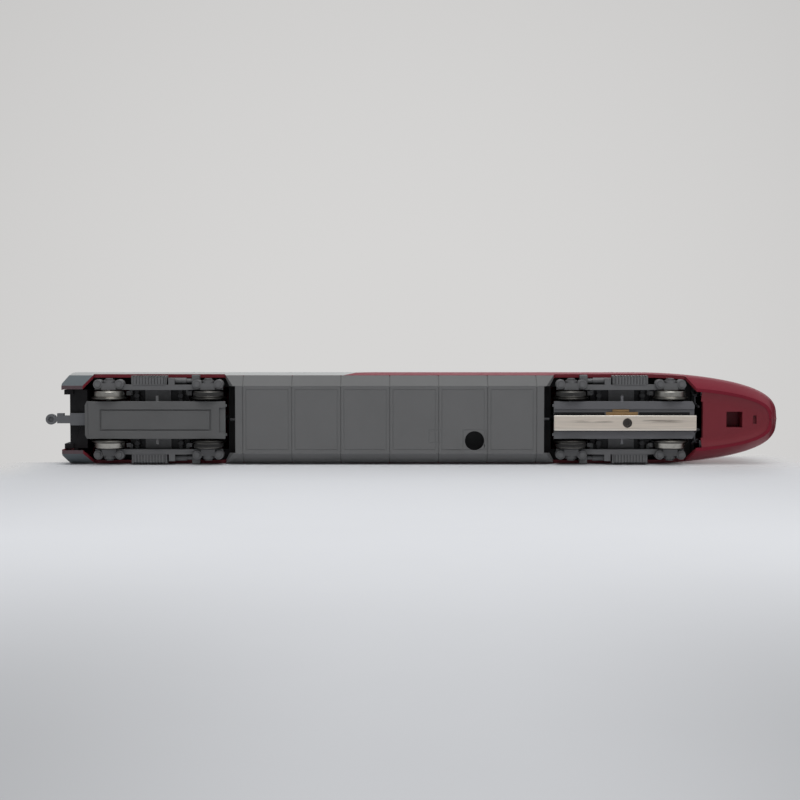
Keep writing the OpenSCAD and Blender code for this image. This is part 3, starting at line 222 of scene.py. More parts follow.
def turned_metal(name, colour, centre, rough=0.3, fineness=9.0):
    """Lathe-turned metal with rings about a Y axis through centre (x, z), random grime, flanges painted dark
    as a painted reflection of dark surroundings, and painted shade in the corners.
    """
    g = Graph(name)
    dx, dz = g.math("SUBTRACT", g.x, centre[0]), g.math("SUBTRACT", g.z, centre[1])
    radius = g.math("SQRT", g.math("ADD", g.times(dx, dx), g.times(dz, dz)))
    turned = g.node("ShaderNodeCombineXYZ", {0: g.times(radius, fineness), 1: g.times(g.y, fineness), 2: 0.0})
    inputs = {"Vector": turned.outputs[0], "Scale": 1.0, "Detail": 3.0}
    rings = g.node("ShaderNodeTexNoise", inputs).outputs["Fac"]
    grime = g.step(g.noise(0.8, 4), 0.48, 0.72)
    flange = g.under(g.distance(g.y), FLANGE_EDGE, 0.12)
    base = g.mix(g.times(grime, 0.3), g.tinted(colour, 0.16, rings), scaled(colour, 0.4))
    # painted reflection: the flanges, and the axle between them, darkened as if mirroring dark surroundings
    base = g.mix(g.times(flange, 0.8), base, scaled(colour, 0.13))
    # painted shade in the corners
    base = g.corners(base, scaled(colour, 0.15), 0.6, 0.5)
    g.set(Base_Color=base, Roughness=g.level(rings, rough - 0.06, rough + 0.12), Metallic=1.0)
    return g.bump(rings, 0.2, 0.02).material


WINE = srgb(126, 36, 51)
LIGHT_GREY = srgb(181, 182, 181)
SKIRT_GREY = srgb(103, 110, 114)
RIM_GREY = srgb(98, 82, 86)
ROOF_GREY = srgb(84, 87, 92)
CREASE_SHADE = (0.02, 0.015, 0.015, 1)
PANEL_LEAN, PANEL_START, PANEL_LOW, PANEL_TOP = 1.1, -33.0, 7.93, 22.0
STRIPE_LEAD, STRIPE_LOW, STRIPE_TOP = 3.0, 23.0, 24.0
SKIRT_X, RIM_HEIGHT = -88.05, 0.09
ROOF_PAINT_Z, ROOF_PAINT_X = 45.0, 52.0
WELL_PAINT_HALF, WELL_PAINT_Z = 8.87, 40.05


def shell_paint():
    """Outer paint: wine red, a light grey side panel at the rear, grey rear skirts and a grey roof, with
    painted shade in its creases.
    """
    g = Graph("shell_paint")
    ahead = g.math("SUBTRACT", g.x, g.math("MULTIPLY_ADD", g.z, PANEL_LEAN, PANEL_START))
    panel = g.times(g.under(ahead, 0.0), g.over(g.z, PANEL_LOW), g.under(g.z, PANEL_TOP))
    stripe = g.times(g.under(ahead, STRIPE_LEAD), g.over(g.z, STRIPE_LOW), g.under(g.z, STRIPE_TOP))
    tail = g.under(g.x, SKIRT_X, 0.05)
    well = g.times(g.under(g.distance(g.y), WELL_PAINT_HALF), g.over(g.z, WELL_PAINT_Z, 0.05))
    crown = g.math("MAXIMUM", g.over(g.z, ROOF_PAINT_Z), well)
    mottled = g.noise(0.07, 4)
    red = g.tinted(WINE, 0.07, mottled)
    base = g.mix(g.math("MAXIMUM", panel, stripe), red, g.tinted(LIGHT_GREY, 0.03, mottled))
    base = g.mix(g.times(tail, g.under(g.z, CHINE_Z)), base, g.tinted(SKIRT_GREY, 0.05, mottled))
    rim = g.mix(tail, red, g.tinted(RIM_GREY, 0.06, mottled))
    base = g.mix(g.under(g.z, FLOOR_Z + RIM_HEIGHT), base, rim)
    base = g.mix(g.times(crown, g.under(g.x, ROOF_PAINT_X)), base, g.tinted(ROOF_GREY, 0.08, mottled))
    # painted shade in the creases and corners of the skin
    base = g.corners(base, CREASE_SHADE, 0.25, 0.7)
    g.set(Base_Color=base, Roughness=g.level(g.noise(0.4, 3), 0.48, 0.58), Specular_IOR_Level=0.1)
    return g.bump(g.noise(3.5, 2), 0.06, 0.03).material


NICKEL, NICKEL_WORN, NICKEL_EDGE_HIGHLIGHT, NICKEL_CORNER_SHADE = (
    srgb(234, 222, 208), srgb(124, 112, 102), srgb(252, 246, 236), srgb(70, 64, 58))
WORN_Y = 0.35


def slider_metal():
    """Nickel-silver strip with long rubbing marks on its running face, a painted highlight along its edges
    and painted shade in its corners.
    """
    g = Graph("slider_metal")
    streak = g.noise(1.0, 4, 0.6, (0.05, 3.2, 1.0))
    from_rivet = g.distance(g.x, FRONT_PIVOT + RIVET_LEAD)
    lane = g.times(g.step(g.distance(g.y, WORN_Y), 0.75, 0.25),
                   g.step(from_rivet, 4.2, 6.0), g.step(from_rivet, 22.0, 14.0))
    worn = g.times(lane, g.step(g.noise(1.0, 4, 0.6, (0.10, 1.6, 1.0)), 0.38, 0.62))
    # painted highlight along both edges of the shoe
    rim = g.step(g.distance(g.y, SHOE_Y), SHOE_HALF - 0.75, SHOE_HALF - 0.3)
    base = g.mix(g.times(worn, 0.7), g.tinted(NICKEL, 0.12, streak), NICKEL_WORN)
    base = g.mix(g.times(rim, 0.6), base, NICKEL_EDGE_HIGHLIGHT)
    # painted shade in the corners
    base = g.corners(base, NICKEL_CORNER_SHADE, 0.5, 0.5)
    g.set(Base_Color=base, Roughness=g.level(streak, 0.24, 0.42), Metallic=0.6)
    return g.bump(streak, 0.12, 0.03).material


def glazing(name, colour, rough=0.08):
    """Tinted clear plastic with faint moulding flow marks."""
    g = Graph(name)
    flow = g.noise(0.2, 3, 0.5, (1, 1, 2.5))
    g.set(Base_Color=g.tinted(colour, 0.15, flow), Roughness=g.level(flow, rough, rough + 0.06))
    g.set(Specular_IOR_Level=0.6, Coat_Weight=0.4, Coat_Roughness=0.05)
    return g.bump(flow, 0.04, 0.05).material


def circuit_board(name, board, track):
    """Lacquered board with copper tracks under the lacquer."""
    g = Graph(name)
    lines, cross = g.math("SINE", g.times(g.x, 5.2)), g.math("SINE", g.times(g.y, 6.1))
    tracks = g.step(g.math("MAXIMUM", lines, cross), 0.90, 0.94)
    base = g.mix(tracks, g.tinted(board, 0.12, g.noise(0.3, 3)), track)
    g.set(Base_Color=base, Roughness=g.level(g.noise(0.8, 2), 0.28, 0.4))
    return g.bump(tracks, 0.3, 0.03).material


GREY_TUB = plastic("grey_underframe", srgb(110, 110, 110), 0.58, 0.035, 5.0, 0.12)
GREY_BOGIE = plastic("grey_bogie", srgb(106, 106, 107), 0.5, 0.06, 5.0, 0.5)
# The two gear covers are one grey plastic; each has its own grey as painted light and shade for where it
# sits.
GREY_COVER = plastic("grey_cover", srgb(98, 98, 98), 0.5, 0.05, 5.0, 0.4)
GREY_COVER_FRONT_SHADE = plastic("grey_cover_front_shade", srgb(101, 101, 104), 0.5, 0.05, 5.0, 0.4)
GREY_ROOF = plastic("grey_roof", srgb(92, 95, 99), 0.6, 0.06, 5.0, 0.6)
# dark grey plastic, made darker still as painted shade of the gaps in the bogies
HOUSING_DARK_AND_SHADE = plastic("housing_dark_and_shade", srgb(42, 42, 44), 0.5, 0.08, 5.0, 0.6)
RAW_RED = plastic("raw_red", srgb(124, 36, 47), 0.5, 0.05, 5.0, 0.6)
BLACK_CAST = plastic("black_cast", srgb(18, 18, 20), 0.6, 0.2, 7.0, 0.3)
BLACK_PLASTIC = plastic("black_plastic", srgb(13, 12, 15), 0.6, 0.15, 5.0, 0.3)
SHOE_CARRIER = plastic("shoe_carrier", srgb(66, 61, 57), 0.5, 0.1, 5.0, 0.5)
CAB_PLASTIC = plastic("cab_plastic", srgb(120, 124, 128), 0.6)
GEAR_PLASTIC = plastic("gear_plastic", srgb(222, 217, 200), 0.45, 0.05)
CERAMIC = plastic("ceramic", srgb(150, 92, 60), 0.2, 0.06, 3.0, 0.3)
COUPLER_PLASTIC = plastic("coupler_plastic", srgb(106, 107, 110), 0.42, 0.05, 5.0, 0.4)
TYRE_RUBBER = plastic("tyre_rubber", srgb(52, 51, 50), 0.75, 0.15, 8.0, 0.3)
PANTO_PAINT = plastic("pantograph_paint", srgb(112, 114, 116), 0.4, 0.1)
STEEL = metal("plated_steel", srgb(196, 197, 198), 0.28, (0.3, 4, 4))
BRASS = metal("turned_brass", srgb(205, 165, 88), 0.28, (4, 0.4, 0.4))
BRONZE = metal("spring_bronze", srgb(170, 138, 98), 0.34, (0.2, 4, 1), 2.5, 0.25, 0.5, 0.8)
GLASS_DARK = glazing("dark_glazing", srgb(26, 29, 33))
LENS = glazing("clear_lens", srgb(214, 220, 222), 0.05)
BOARD = circuit_board("circuit_board", srgb(26, 92, 56), srgb(74, 132, 74))
# near-black board: painted shade for the gap ahead of the front bogie
LAMP_BOARD_SHADE = circuit_board("lamp_board_shade", srgb(17, 18, 20), srgb(30, 31, 33))
SHELL_PAINT = shell_paint()
SLIDER_METAL = slider_metal()
# One nickel for all wheels; the inner set is a darker copy, painted shade.
WHEEL_METAL_LIT_AND_SHADED = {"outer": srgb(190, 187, 180), "inner": srgb(118, 116, 112)}


# CAD nodes that stay
def soften(obj, width, degrees):
    """Rounds the edges where faces meet at more than that angle."""
    edge = obj.modifiers.new("edge", "BEVEL")
    edge.width = width * MM
    edge.segments = 2
    edge.limit_method = "ANGLE"
    edge.angle_limit = math.radians(degrees)
    edge.harden_normals = True
    return edge


def dress(node, material, bevel=0.08, angle=38):
    """Gives a CAD node its material, and rounds its edges with modifiers alone."""
    obj = NODES[node]
    obj.data.materials.clear()
    obj.data.materials.append(material)
    if "custom_normal" in obj.data.attributes:
        obj.data.attributes.remove(obj.data.attributes["custom_normal"])
    obj.data.polygons.foreach_set("use_smooth", [True] * len(obj.data.polygons))
    obj.modifiers.new("weld", "WELD").merge_threshold = 1e-6
    if bevel:
        soften(obj, bevel, angle).miter_outer = "MITER_ARC"
    else:
        obj.modifiers.new("crease", "EDGE_SPLIT").split_angle = math.radians(angle)


for row in (
    ("underframe_tub", GREY_TUB, 0.05), ("nose_floor", RAW_RED, 0.12), ("chassis_frame", BLACK_CAST, 0.1),
    ("rear_bulkhead", BLACK_PLASTIC, 0.1), ("windscreen", GLASS_DARK, 0, 30),
    ("side_windows", GLASS_DARK, 0, 30), ("headlight_guides", LENS, 0, 30), ("cab_insert", CAB_PLASTIC, 0.1),
    ("light_board", LAMP_BOARD_SHADE, 0.05), ("main_board", BOARD, 0.05), ("motor_can", STEEL, 0.15),
    ("motor_clamp", STEEL, 0.06), ("clamp_screws", STEEL, 0.06), ("roof_grille", GREY_ROOF, 0.06),
    ("pantograph_base", BLACK_CAST, 0.06), ("motor_shaft", STEEL, 0.1), ("flywheels", BRASS, 0.2),
    ("front_cardan", BLACK_PLASTIC, 0, 40), ("rear_cardan", BLACK_PLASTIC, 0, 40),
    ("slider_shoe", SLIDER_METAL, 0.2), ("slider_carrier", SHOE_CARRIER, 0.04),
    ("slider_spring", BRONZE, 0.03), ("coupler_bar", COUPLER_PLASTIC, 0.12),
    ("pantograph_lower_arm", PANTO_PAINT, 0.05), ("pantograph_upper_arm", PANTO_PAINT, 0.05),
    ("pantograph_head", PANTO_PAINT, 0.06),
):
    dress(*row)
for bogie, pivot, facing in (("front", FRONT_PIVOT, 1), ("rear", REAR_PIVOT, -1)):
    # gearbox in dark grey, partly painted shade
    dress(bogie + "_gearbox", HOUSING_DARK_AND_SHADE, 0.12)
    # each cover's grey is painted light and shade for its bogie
    dress(bogie + "_gear_cover", GREY_COVER_FRONT_SHADE if bogie == "front" else GREY_COVER, 0.1)
    dress(bogie + "_sideframe_left", GREY_BOGIE, 0.07)
    dress(bogie + "_sideframe_right", GREY_BOGIE, 0.07)
    dress(bogie + "_pivot_screw", STEEL, 0.08)
    dress(bogie + "_worm", BRASS, 0, 40)
    for part in ("centre_gear", "outer_idler", "inner_idler", "outer_gear", "inner_gear"):
        dress("%s_%s" % (bogie, part), GEAR_PLASTIC, 0, 30)
    dress(bogie + "_inner_tyres", TYRE_RUBBER, 0.04)
    for end, side in (("outer", 1), ("inner", -1)):
        centre = (pivot + facing * side * AXLE_X, AXLE_Z)
        bright = turned_metal("%s_%s_metal" % (bogie, end), WHEEL_METAL_LIT_AND_SHADED[end], centre)
        dress("%s_%s_wheels" % (bogie, end), bright, 0.05, 30)
        dress("%s_%s_axle" % (bogie, end), bright, 0.05)


# Body form: a station s is the distance behind the nose tip, and t is how far the form is drawn in
PLAN_CURVE, HOOD_CURVE = (1.8, 3), (1.7, 1.3)
FOLD_LEAST, FLOOR_LEAST, FOLD_GAP, TIP_LIFT = 0.2, 0.1, 0.3, 0.85


def unit(v):
    return max(0.0, min(1.0, v))


def swell(share, tip, blend):
    """Rise from 0 to 1 of a rounded outline, blunt at the tip and flat where it ends."""
    return (1 - (1 - unit(share)) ** tip) ** (1 / blend)


def plan_y(s, t, half, setback=0.0):
    """Half width of a line of the body that starts at a setback behind the nose tip."""
    return (half - t) * swell((s + TIP_FLAT - t - setback) / (NOSE_LENGTH - t - setback), *PLAN_CURVE)


def waist_y(s, t=0.0):
    return plan_y(s, t, BODY_HALF)


def fold_y(s, t=0.0):
    return max(FOLD_LEAST, plan_y(s, t, CHINE_HALF, CHINE_SETBACK))


def floor_y(s, t=0.0):
    return max(FLOOR_LEAST, plan_y(s, t, FLOOR_HALF, FLOOR_SETBACK))


def floor_z(s, t=0.0):
    return FLOOR_Z + TIP_LIFT * (WAIST_Z - FLOOR_Z) * unit(1 - (s - t) / FLOOR_SETBACK)


def fold_z(s, t=0.0):
    return max(CHINE_Z, floor_z(s, t) + FOLD_GAP)


def roof_z(s, t=0.0):
    rise = swell((s + TIP_FLAT - t) / (HOOD_LENGTH - t), *HOOD_CURVE)
    return WAIST_Z + (ROOF_Z - WAIST_Z - t) * rise


def rounded(share):
    """What is left of one half axis of the upper section at a share of the other."""
    return (1 - unit(share) ** ROUNDNESS) ** (1 / ROUNDNESS)


def skin_y(s, z):
    """Half width of the body at station s and height z above the waist."""
    return waist_y(s) * rounded((z - WAIST_Z) / (roof_z(s) - WAIST_Z))


def nose_station(y, z):
    """Station at which the body surface passes through the given Y and Z, found by halving."""
    low, high = 0.0, HOOD_LENGTH + 10
    for _ in range(40):
        middle = (low + high) / 2
        if roof_z(middle) > z and skin_y(middle, z) > abs(y):
            high = middle
        else:
            low = middle
    return high


# Surfaces map two coordinates to a point of the body: (station, height), (station, y) or (y, height)
def on_right(s, z):
    return Vector((NOSE_X - s, -skin_y(s, z), z))


def on_left(s, z):
    return Vector((NOSE_X - s, skin_y(s, z), z))


def on_roof(s, y):
    return Vector((NOSE_X - s, y, WAIST_Z + (roof_z(s) - WAIST_Z) * rounded(abs(y) / waist_y(s))))


def on_nose(y, z):
    return Vector((NOSE_X - nose_station(y, z), y, z))


FLANKS = (on_left, on_right)
HEART_X, HEART_Z, SMALL_STEP = 70.0, 24.0, 0.02


def outward(surface, a, b):
    """Unit normal of a surface at (a, b), pointing away from the heart of the body."""
    across = surface(a + SMALL_STEP, b) - surface(a - SMALL_STEP, b)
    up = surface(a, b + SMALL_STEP) - surface(a, b - SMALL_STEP)
    normal = across.cross(up).normalized()
    point = surface(a, b)
    heart = Vector((min(point.x, HEART_X), 0, HEART_Z))
    return normal if normal.dot(point - heart) > 0 else -normal


def lifted(surface, a, b, height):
    """Point at a height over the surface."""
    return surface(a, b) + outward(surface, a, b) * height


# Mesh helpers
def mesh_object(name, bm, material):
    mesh = bpy.data.meshes.new(name)
    bm.to_mesh(mesh)
    bm.free()
    mesh.materials.append(material)
    obj = bpy.data.objects.new(name, mesh)
    bpy.context.scene.collection.objects.link(obj)
    return obj


def solid(name, build, material):
    """Object from a function that fills a bmesh."""
    bm = bmesh.new()
    build(bm)
    bmesh.ops.recalc_face_normals(bm, faces=bm.faces)
    return mesh_object(name, bm, material)


def bridge(bm, one, two):
    """Faces between two closed rings."""
    for i in range(len(one)):
        j = (i + 1) % len(one)
        bm.faces.new((one[i], one[j], two[j], two[i]))


def join_rings(bm, rings, closed=False):
    """Faces along a row of rings, with a face on each end unless the row is closed."""
    for one, two in zip(rings, rings[1:]):
        bridge(bm, one, two)
    if closed:
        bridge(bm, rings[-1], rings[0])
    else:
        bm.faces.new(list(reversed(rings[0])))
        bm.faces.new(rings[-1])


def round_steps(count):
    """Cosine and sine of even steps round a circle."""
    angles = [2 * math.pi * i / count for i in range(count)]
    return [(math.cos(a), math.sin(a)) for a in angles]


def stretches(points, closed):
    """The stretch before and after each point; an open end has the same one twice."""
    after = [points[(i + 1) % len(points)] - point for i, point in enumerate(points)]
    if not closed:
        after[-1] = after[-2]
    before = after[-1:] + after[:-1]
    if not closed:
        before[0] = after[0]
    return zip(before, after)


def even(first, last, count):
    """Values from first to last in count even steps."""
    return [first + (last - first) * i / count for i in range(count + 1)]


def dense(path, closed, pace=1.5):
    """Path with points added so that no stretch is longer than pace."""
    ends = path[1:] + path[:1] if closed else path[1:]
    points = []
    for (a0, b0), (a1, b1) in zip(path, ends):
        n = max(1, math.ceil(math.hypot(a1 - a0, b1 - b0) / pace))
        points += list(zip(even(a0, a1, n), even(b0, b1, n)))[:-1]
    return points if closed else points + [path[-1]]


def add_strip(bm, surface, path, width, low, high, closed=True):
    """Strip that follows a path on the body surface, from low to high along its normal."""
    path = dense(path, closed)
    points = [surface(*p) for p in path]
    rings = []
    for at, point, stretch in zip(path, points, stretches(points, closed)):
        normal = outward(surface, *at)
        sides = [normal.cross(d).normalized() for d in stretch]
        side = (sides[0] + sides[1]).normalized()
        side *= width / 2 / max(0.4, side.dot(sides[0]))
        section = ((-1, low), (1, low), (1, high), (-1, high))
        rings.append([bm.verts.new((point + side * e + normal * h) * MM) for e, h in section])
    join_rings(bm, rings, closed)


def add_patch(bm, surface, a, b, low, high, pace=2.0):
    """Closed plate that follows the surface over a range of both its coordinates."""
    rows, columns = (even(*ends, max(1, math.ceil((ends[1] - ends[0]) / pace))) for ends in (a, b))
    rings = []
    for u in rows:
        rim = [(u, v, low) for v in columns] + [(u, v, high) for v in reversed(columns)]
        rings.append([bm.verts.new(lifted(surface, *at) * MM) for at in rim])
    for one, two in zip(rings, rings[1:]):
        bridge(bm, one, two)
    for ring in (rings[0], rings[-1]):
        for j in range(len(columns) - 1):
            bm.faces.new((ring[j], ring[j + 1], ring[-2 - j], ring[-1 - j]))


def add_box(bm, x, y, z):
    """Axis-aligned block from (low, high) pairs in millimetres."""
    size = Vector((x[1] - x[0], y[1] - y[0], z[1] - z[0]))
    middle = Vector((x[0] + x[1], y[0] + y[1], z[0] + z[1])) / 2
    for v in bmesh.ops.create_cube(bm, size=1.0)["verts"]:
        v.co = (v.co * size + middle) * MM


def add_prism(bm, outline, across, place):
    """Outline extruded between two values; place maps (u, v, w) to (x, y, z) in millimetres."""
    join_rings(bm, [[bm.verts.new(Vector(place(u, v, w)) * MM) for u, v in outline] for w in across])


def on_side(u, v, w):
    return (u, w, v)


def on_end(u, v, w):
    return (w, u, v)


def on_top(u, v, w):
    return (u, v, w)


def add_lathe(bm, centre, axis, profile, sides=24):
    """Closed turned shape: profile of (radius, distance along the axis) that starts and ends on the axis."""
    turn = Vector((0, 0, 1)).rotation_difference(Vector(axis)).to_matrix()
    rings = []
    for radius, along in profile:
        circle = [(radius * c, radius * s, along) for c, s in round_steps(sides if radius else 1)]
        rings.append([bm.verts.new((Vector(centre) + turn @ Vector(p)) * MM) for p in circle])
    for one, two in zip(rings[1:-2], rings[2:-1]):
        bridge(bm, one, two)
    for tip, ring in ((rings[0], rings[1]), (rings[-1], rings[-2])):
        for i in range(sides):
            bm.faces.new((tip[0], ring[i], ring[(i + 1) % sides]))


def add_tube(bm, points, radius, sides=10, closed=False):
    """Round bar along points in millimetres."""
    points = [Vector(p) for p in points]
    rings, side = [], None
    for point, (before, after) in zip(points, stretches(points, closed)):
        ahead = (before.normalized() + after.normalized()).normalized()
        if side is None:
            side = ahead.orthogonal().normalized()
        side = (side - ahead * side.dot(ahead)).normalized()
        other = ahead.cross(side)
        circle = [(side * c + other * s) * radius for c, s in round_steps(sides)]
        rings.append([bm.verts.new((point + offset) * MM) for offset in circle])
    join_rings(bm, rings, closed)


def rectangle(a0, a1, b0, b1):
    return [(a0, b0), (a1, b0), (a1, b1), (a0, b1)]


# Body shell
FINE, ARC_POINTS, NOSE_STATIONS, TAIL_STATIONS = 240, 30, 64, 26


def even_arc(s, t):
    """The upper section from waist to roof, as points at even distances."""
    fine = []
    for i in range(FINE + 1):
        a = math.radians(90 * i / FINE)
        fine.append((waist_y(s, t) * max(0.0, math.cos(a)) ** (2 / ROUNDNESS),
                     WAIST_Z + (roof_z(s, t) - WAIST_Z) * math.sin(a) ** (2 / ROUNDNESS)))
    far = [0.0]
    for (y0, z0), (y1, z1) in zip(fine, fine[1:]):
        far.append(far[-1] + math.hypot(y1 - y0, z1 - z0))
    points, j = [], 0
    for i in range(ARC_POINTS + 1):
        goal = far[-1] * i / ARC_POINTS
        while j < len(far) - 2 and far[j + 1] < goal:
            j += 1
        part = (goal - far[j]) / max(1e-9, far[j + 1] - far[j])
        points.append(tuple(a + (b - a) * part for a, b in zip(fine[j], fine[j + 1])))
    return points


def body_form(t, last, drop=0.0):
    """Closed loft of the body drawn in by t, up to a last station; drop lengthens its lower edge."""
    nose = [t + HOOD_LENGTH * (i / NOSE_STATIONS) ** 2 for i in range(NOSE_STATIONS + 1)]
    tail = even(t + HOOD_LENGTH, last, TAIL_STATIONS)[1:]

    def build(bm):
        rings = []
        for s in nose + tail:
            half = [(floor_y(s, t), floor_z(s, t)), (fold_y(s, t), fold_z(s, t))] + even_arc(s, t)
            if drop:
                half.insert(0, (floor_y(s, t), floor_z(s, t) - drop))
            section = half + [(-y, z) for y, z in reversed(half[:-1])]
            rings.append([bm.verts.new(Vector((NOSE_X - s, y, z)) * MM) for y, z in section])
        join_rings(bm, rings)
    return build


def rear_corners(t):
    """What is cut off the rear corners of a form drawn in by t."""
    slope = REAR_INSET / REAR_TAPER
    edge = BODY_HALF - t * math.hypot(1, slope)
    front, back, clear = REAR_X + REAR_TAPER + 4, REAR_X - 2, BODY_HALF + 9
    corner = [(front, edge + 4 * slope), (back, edge - REAR_INSET - 2 * slope), (back, clear), (front, clear)]

    def build(bm):
        for side in SIDES:
            add_prism(bm, [(x, side * y) for x, y in corner], (-3, ROOF_Z + 2), on_top)
    return build


# Openings of the shell: the windscreen by (y, z), the side window by (station, z)
PAST = 1.0
WELL_SLOPE, WING_CHAMFER, GRILLE_DEPTH = 0.65, 0.6, 5
WINDSCREEN_CUT, WINDSCREEN_DEPTH = [(8.5, 27.5), (6.9, 38), (-6.9, 38), (-8.5, 27.5)], 44
SIDE_WINDOW_CUT, SIDE_WINDOW_REACH = [(43, 28.5), (33, 28.5), (37, 35.5), (43, 35.5)], (6, 20)
LAMP_DEPTH, LAMP_Y, LAMP_Z = 16, (7.6, 11), (14.6, 17.4)


def shell_cutter(bm):
    """Everything that is cut through the shell: bogie openings, windows, lamps, roof well and grille."""
    slope = (CHINE_Z - FLOOR_Z) * WELL_SLOPE
    front, rear = FRONT_PIVOT + WELL_REACH, REAR_PIVOT - WELL_REACH
    wing_front, wing_rear = MID_X + WING_REACH, MID_X - WING_REACH
    add_prism(bm, [
        (rear - slope - PAST, -PAST), (rear - slope, FLOOR_Z), (rear, CHINE_Z), (rear, SILL_Z),
        (wing_rear - WING_CHAMFER, SILL_Z), (wing_rear, SEAM_Z),
        (wing_front, SEAM_Z), (wing_front + WING_CHAMFER, SILL_Z),
        (front, SILL_Z), (front, CHINE_Z), (front + slope, FLOOR_Z), (front + slope + PAST, -PAST),
    ], (-30, 30), on_side)
    add_prism(bm, WINDSCREEN_CUT, (NOSE_X - WINDSCREEN_DEPTH, NOSE_X + PAST), on_end)
    for side in SIDES:
        window = [(NOSE_X - s, z) for s, z in SIDE_WINDOW_CUT]
        add_prism(bm, window, [side * y for y in SIDE_WINDOW_REACH], on_side)
        add_box(bm, (NOSE_X - LAMP_DEPTH, NOSE_X + PAST), sorted(side * y for y in LAMP_Y), LAMP_Z)
    add_box(bm, WELL_X, (-WELL_HALF, WELL_HALF), (WELL_FLOOR, ROOF_Z + PAST))
    add_box(bm, (MID_X - GRILLE_HALF_LENGTH, MID_X + GRILLE_HALF_LENGTH), (-GRILLE_HALF, GRILLE_HALF),
            (ROOF_Z - GRILLE_DEPTH, ROOF_Z + PAST))


# Doors, hatches and vents along a side: stations, heights
DOORS = ((50.0, 57.5, 13.2, 38.0), (196.0, 204.0, 13.2, 38.0))
HATCHES = [(66 + 21 * i, 84 + 21 * i, 12.7, 19.6) for i in range(6)]
VENTS = [(74 + 23 * i, 92 + 23 * i, 27.0, 37.5) for i in range(5)] + [(210.0, 240.0, 27.0, 37.5)]
NOSE_HATCH = [(5.2 * c, 17.2 + 3.6 * s) for c, s in round_steps(36)]
GUTTER_START, GUTTER_Z = 60, 40.8
ROOF_JOINTS, ROOF_JOINT_HALF = (62, 78, 96, 172, 184), 9.0
RAIL_OFFSET, RAIL_LOW, RAIL_HIGH = 1.3, 15.5, 27.0
RAILS = [door[0] - RAIL_OFFSET for door in DOORS] + [door[1] + RAIL_OFFSET for door in DOORS]
FAN_STATIONS, FAN_RADIUS, FAN_WELL_Z = (72.0, 88.0, 178.0, 190.0), 4.4, (46.7, 49)
UP = (0, 0, 1)
# Sections of grooves and pockets: width, then depth and reach over the skin
DOOR_GAP, HATCH_GAP, GUTTER_GAP = (0.26, -0.22, 0.4), (0.2, -0.15, 0.4), (0.24, -0.18, 0.4)
ROOF_GAP, NOSE_GAP, RAIL_POCKET = (0.22, -0.15, 0.4), (0.2, -0.18, 0.4), (1.3, -0.75, 0.4)
VENT_POCKET = (-0.6, 0.5)


def shell_recesses(bm):
    """Vents and grab rail pockets in the sides and fan wells in the roof."""
    for surface in FLANKS:
        for a0, a1, b0, b1 in VENTS:
            add_patch(bm, surface, (a0, a1), (b0, b1), *VENT_POCKET)
        for at in RAILS:
            add_strip(bm, surface, [(at, RAIL_LOW), (at, RAIL_HIGH)], *RAIL_POCKET, False)
    low, high = FAN_WELL_Z
    profile = [(0, low), (FAN_RADIUS, low), (FAN_RADIUS, high), (0, high)]
    for at in FAN_STATIONS:
        add_lathe(bm, (NOSE_X - at, 0, 0), UP, profile, 40)


def shell_grooves(bm):
    """Panel joints and door gaps in the outer skin."""
    for surface in FLANKS:
        for door in DOORS:
            add_strip(bm, surface, rectangle(*door), *DOOR_GAP)
        for hatch in HATCHES:
            add_strip(bm, surface, rectangle(*hatch), *HATCH_GAP)
        gutter = [(GUTTER_START, GUTTER_Z), (BODY_LENGTH - 0.02, GUTTER_Z)]
        add_strip(bm, surface, gutter, *GUTTER_GAP, False)
    for at in ROOF_JOINTS:
        add_strip(bm, on_roof, [(at, -ROOF_JOINT_HALF), (at, ROOF_JOINT_HALF)], *ROOF_GAP, False)
    add_strip(bm, on_nose, NOSE_HATCH, *NOSE_GAP)


def subtract(target, cutter):
    """Boolean difference, applied; the cut faces take the cutter's material."""
    cut = target.modifiers.new("cut", "BOOLEAN")
    cut.object = cutter
    cut.operation = "DIFFERENCE"
    cut.solver = "EXACT"
    cut.material_mode = "TRANSFER"
    depsgraph = bpy.context.evaluated_depsgraph_get()
    mesh = bpy.data.meshes.new_from_object(target.evaluated_get(depsgraph))
    target.modifiers.clear()
    spent = (target.data, cutter.data)
    target.data = mesh
    bpy.data.objects.remove(cutter)
    for old in spent:
        bpy.data.meshes.remove(old)


def crease(obj, degrees):
    """Smooth shading with hard edges where faces meet at more than that angle."""
    bm = bmesh.new()
    bm.from_mesh(obj.data)
    bmesh.ops.remove_doubles(bm, verts=bm.verts, dist=1e-7)
    limit = math.radians(degrees)
    for face in bm.faces:
        face.smooth = True
    for edge in bm.edges:
        edge.smooth = len(edge.link_faces) == 2 and edge.calc_face_angle(0.0) < limit
    bm.to_mesh(obj.data)
    bm.free()


def keep(obj, body, bevel=0.0, angle=35):
    """Lets a finished piece ride on its body, with softened edges."""
    crease(obj, angle)
    if bevel:
        soften(obj, bevel, angle)
    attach(obj, body)
    return obj


def piece(name, build, material, body, bevel=0.0, angle=35):
    """Makes a piece from a function that fills a bmesh."""
    return keep(solid(name, build, material), body, bevel, angle)


def body_pieces(*rows):
    """Pieces of the body, each named like the function that builds it."""
    for build, material, bevel, angle in rows:
        piece(build.__name__, build, material, "loco_body", bevel, angle)


shell = solid("shell_skin", body_form(0.0, BODY_LENGTH), SHELL_PAINT)
subtract(shell, solid("corner_cutter", rear_corners(0.0), SHELL_PAINT))
core = solid("shell_core", body_form(SHELL_WALL, BODY_LENGTH + PAST, 2.0), RAW_RED)
subtract(core, solid("corner_cutter", rear_corners(SHELL_WALL), RAW_RED))
subtract(shell, core)
subtract(shell, solid("shell_cutter", shell_cutter, RAW_RED))
subtract(shell, solid("groove_cutter", shell_grooves, SHELL_PAINT))
subtract(shell, solid("recess_cutter", shell_recesses, BLACK_CAST))
keep(shell, "loco_body", 0.04, 32)
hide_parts("body_shell")


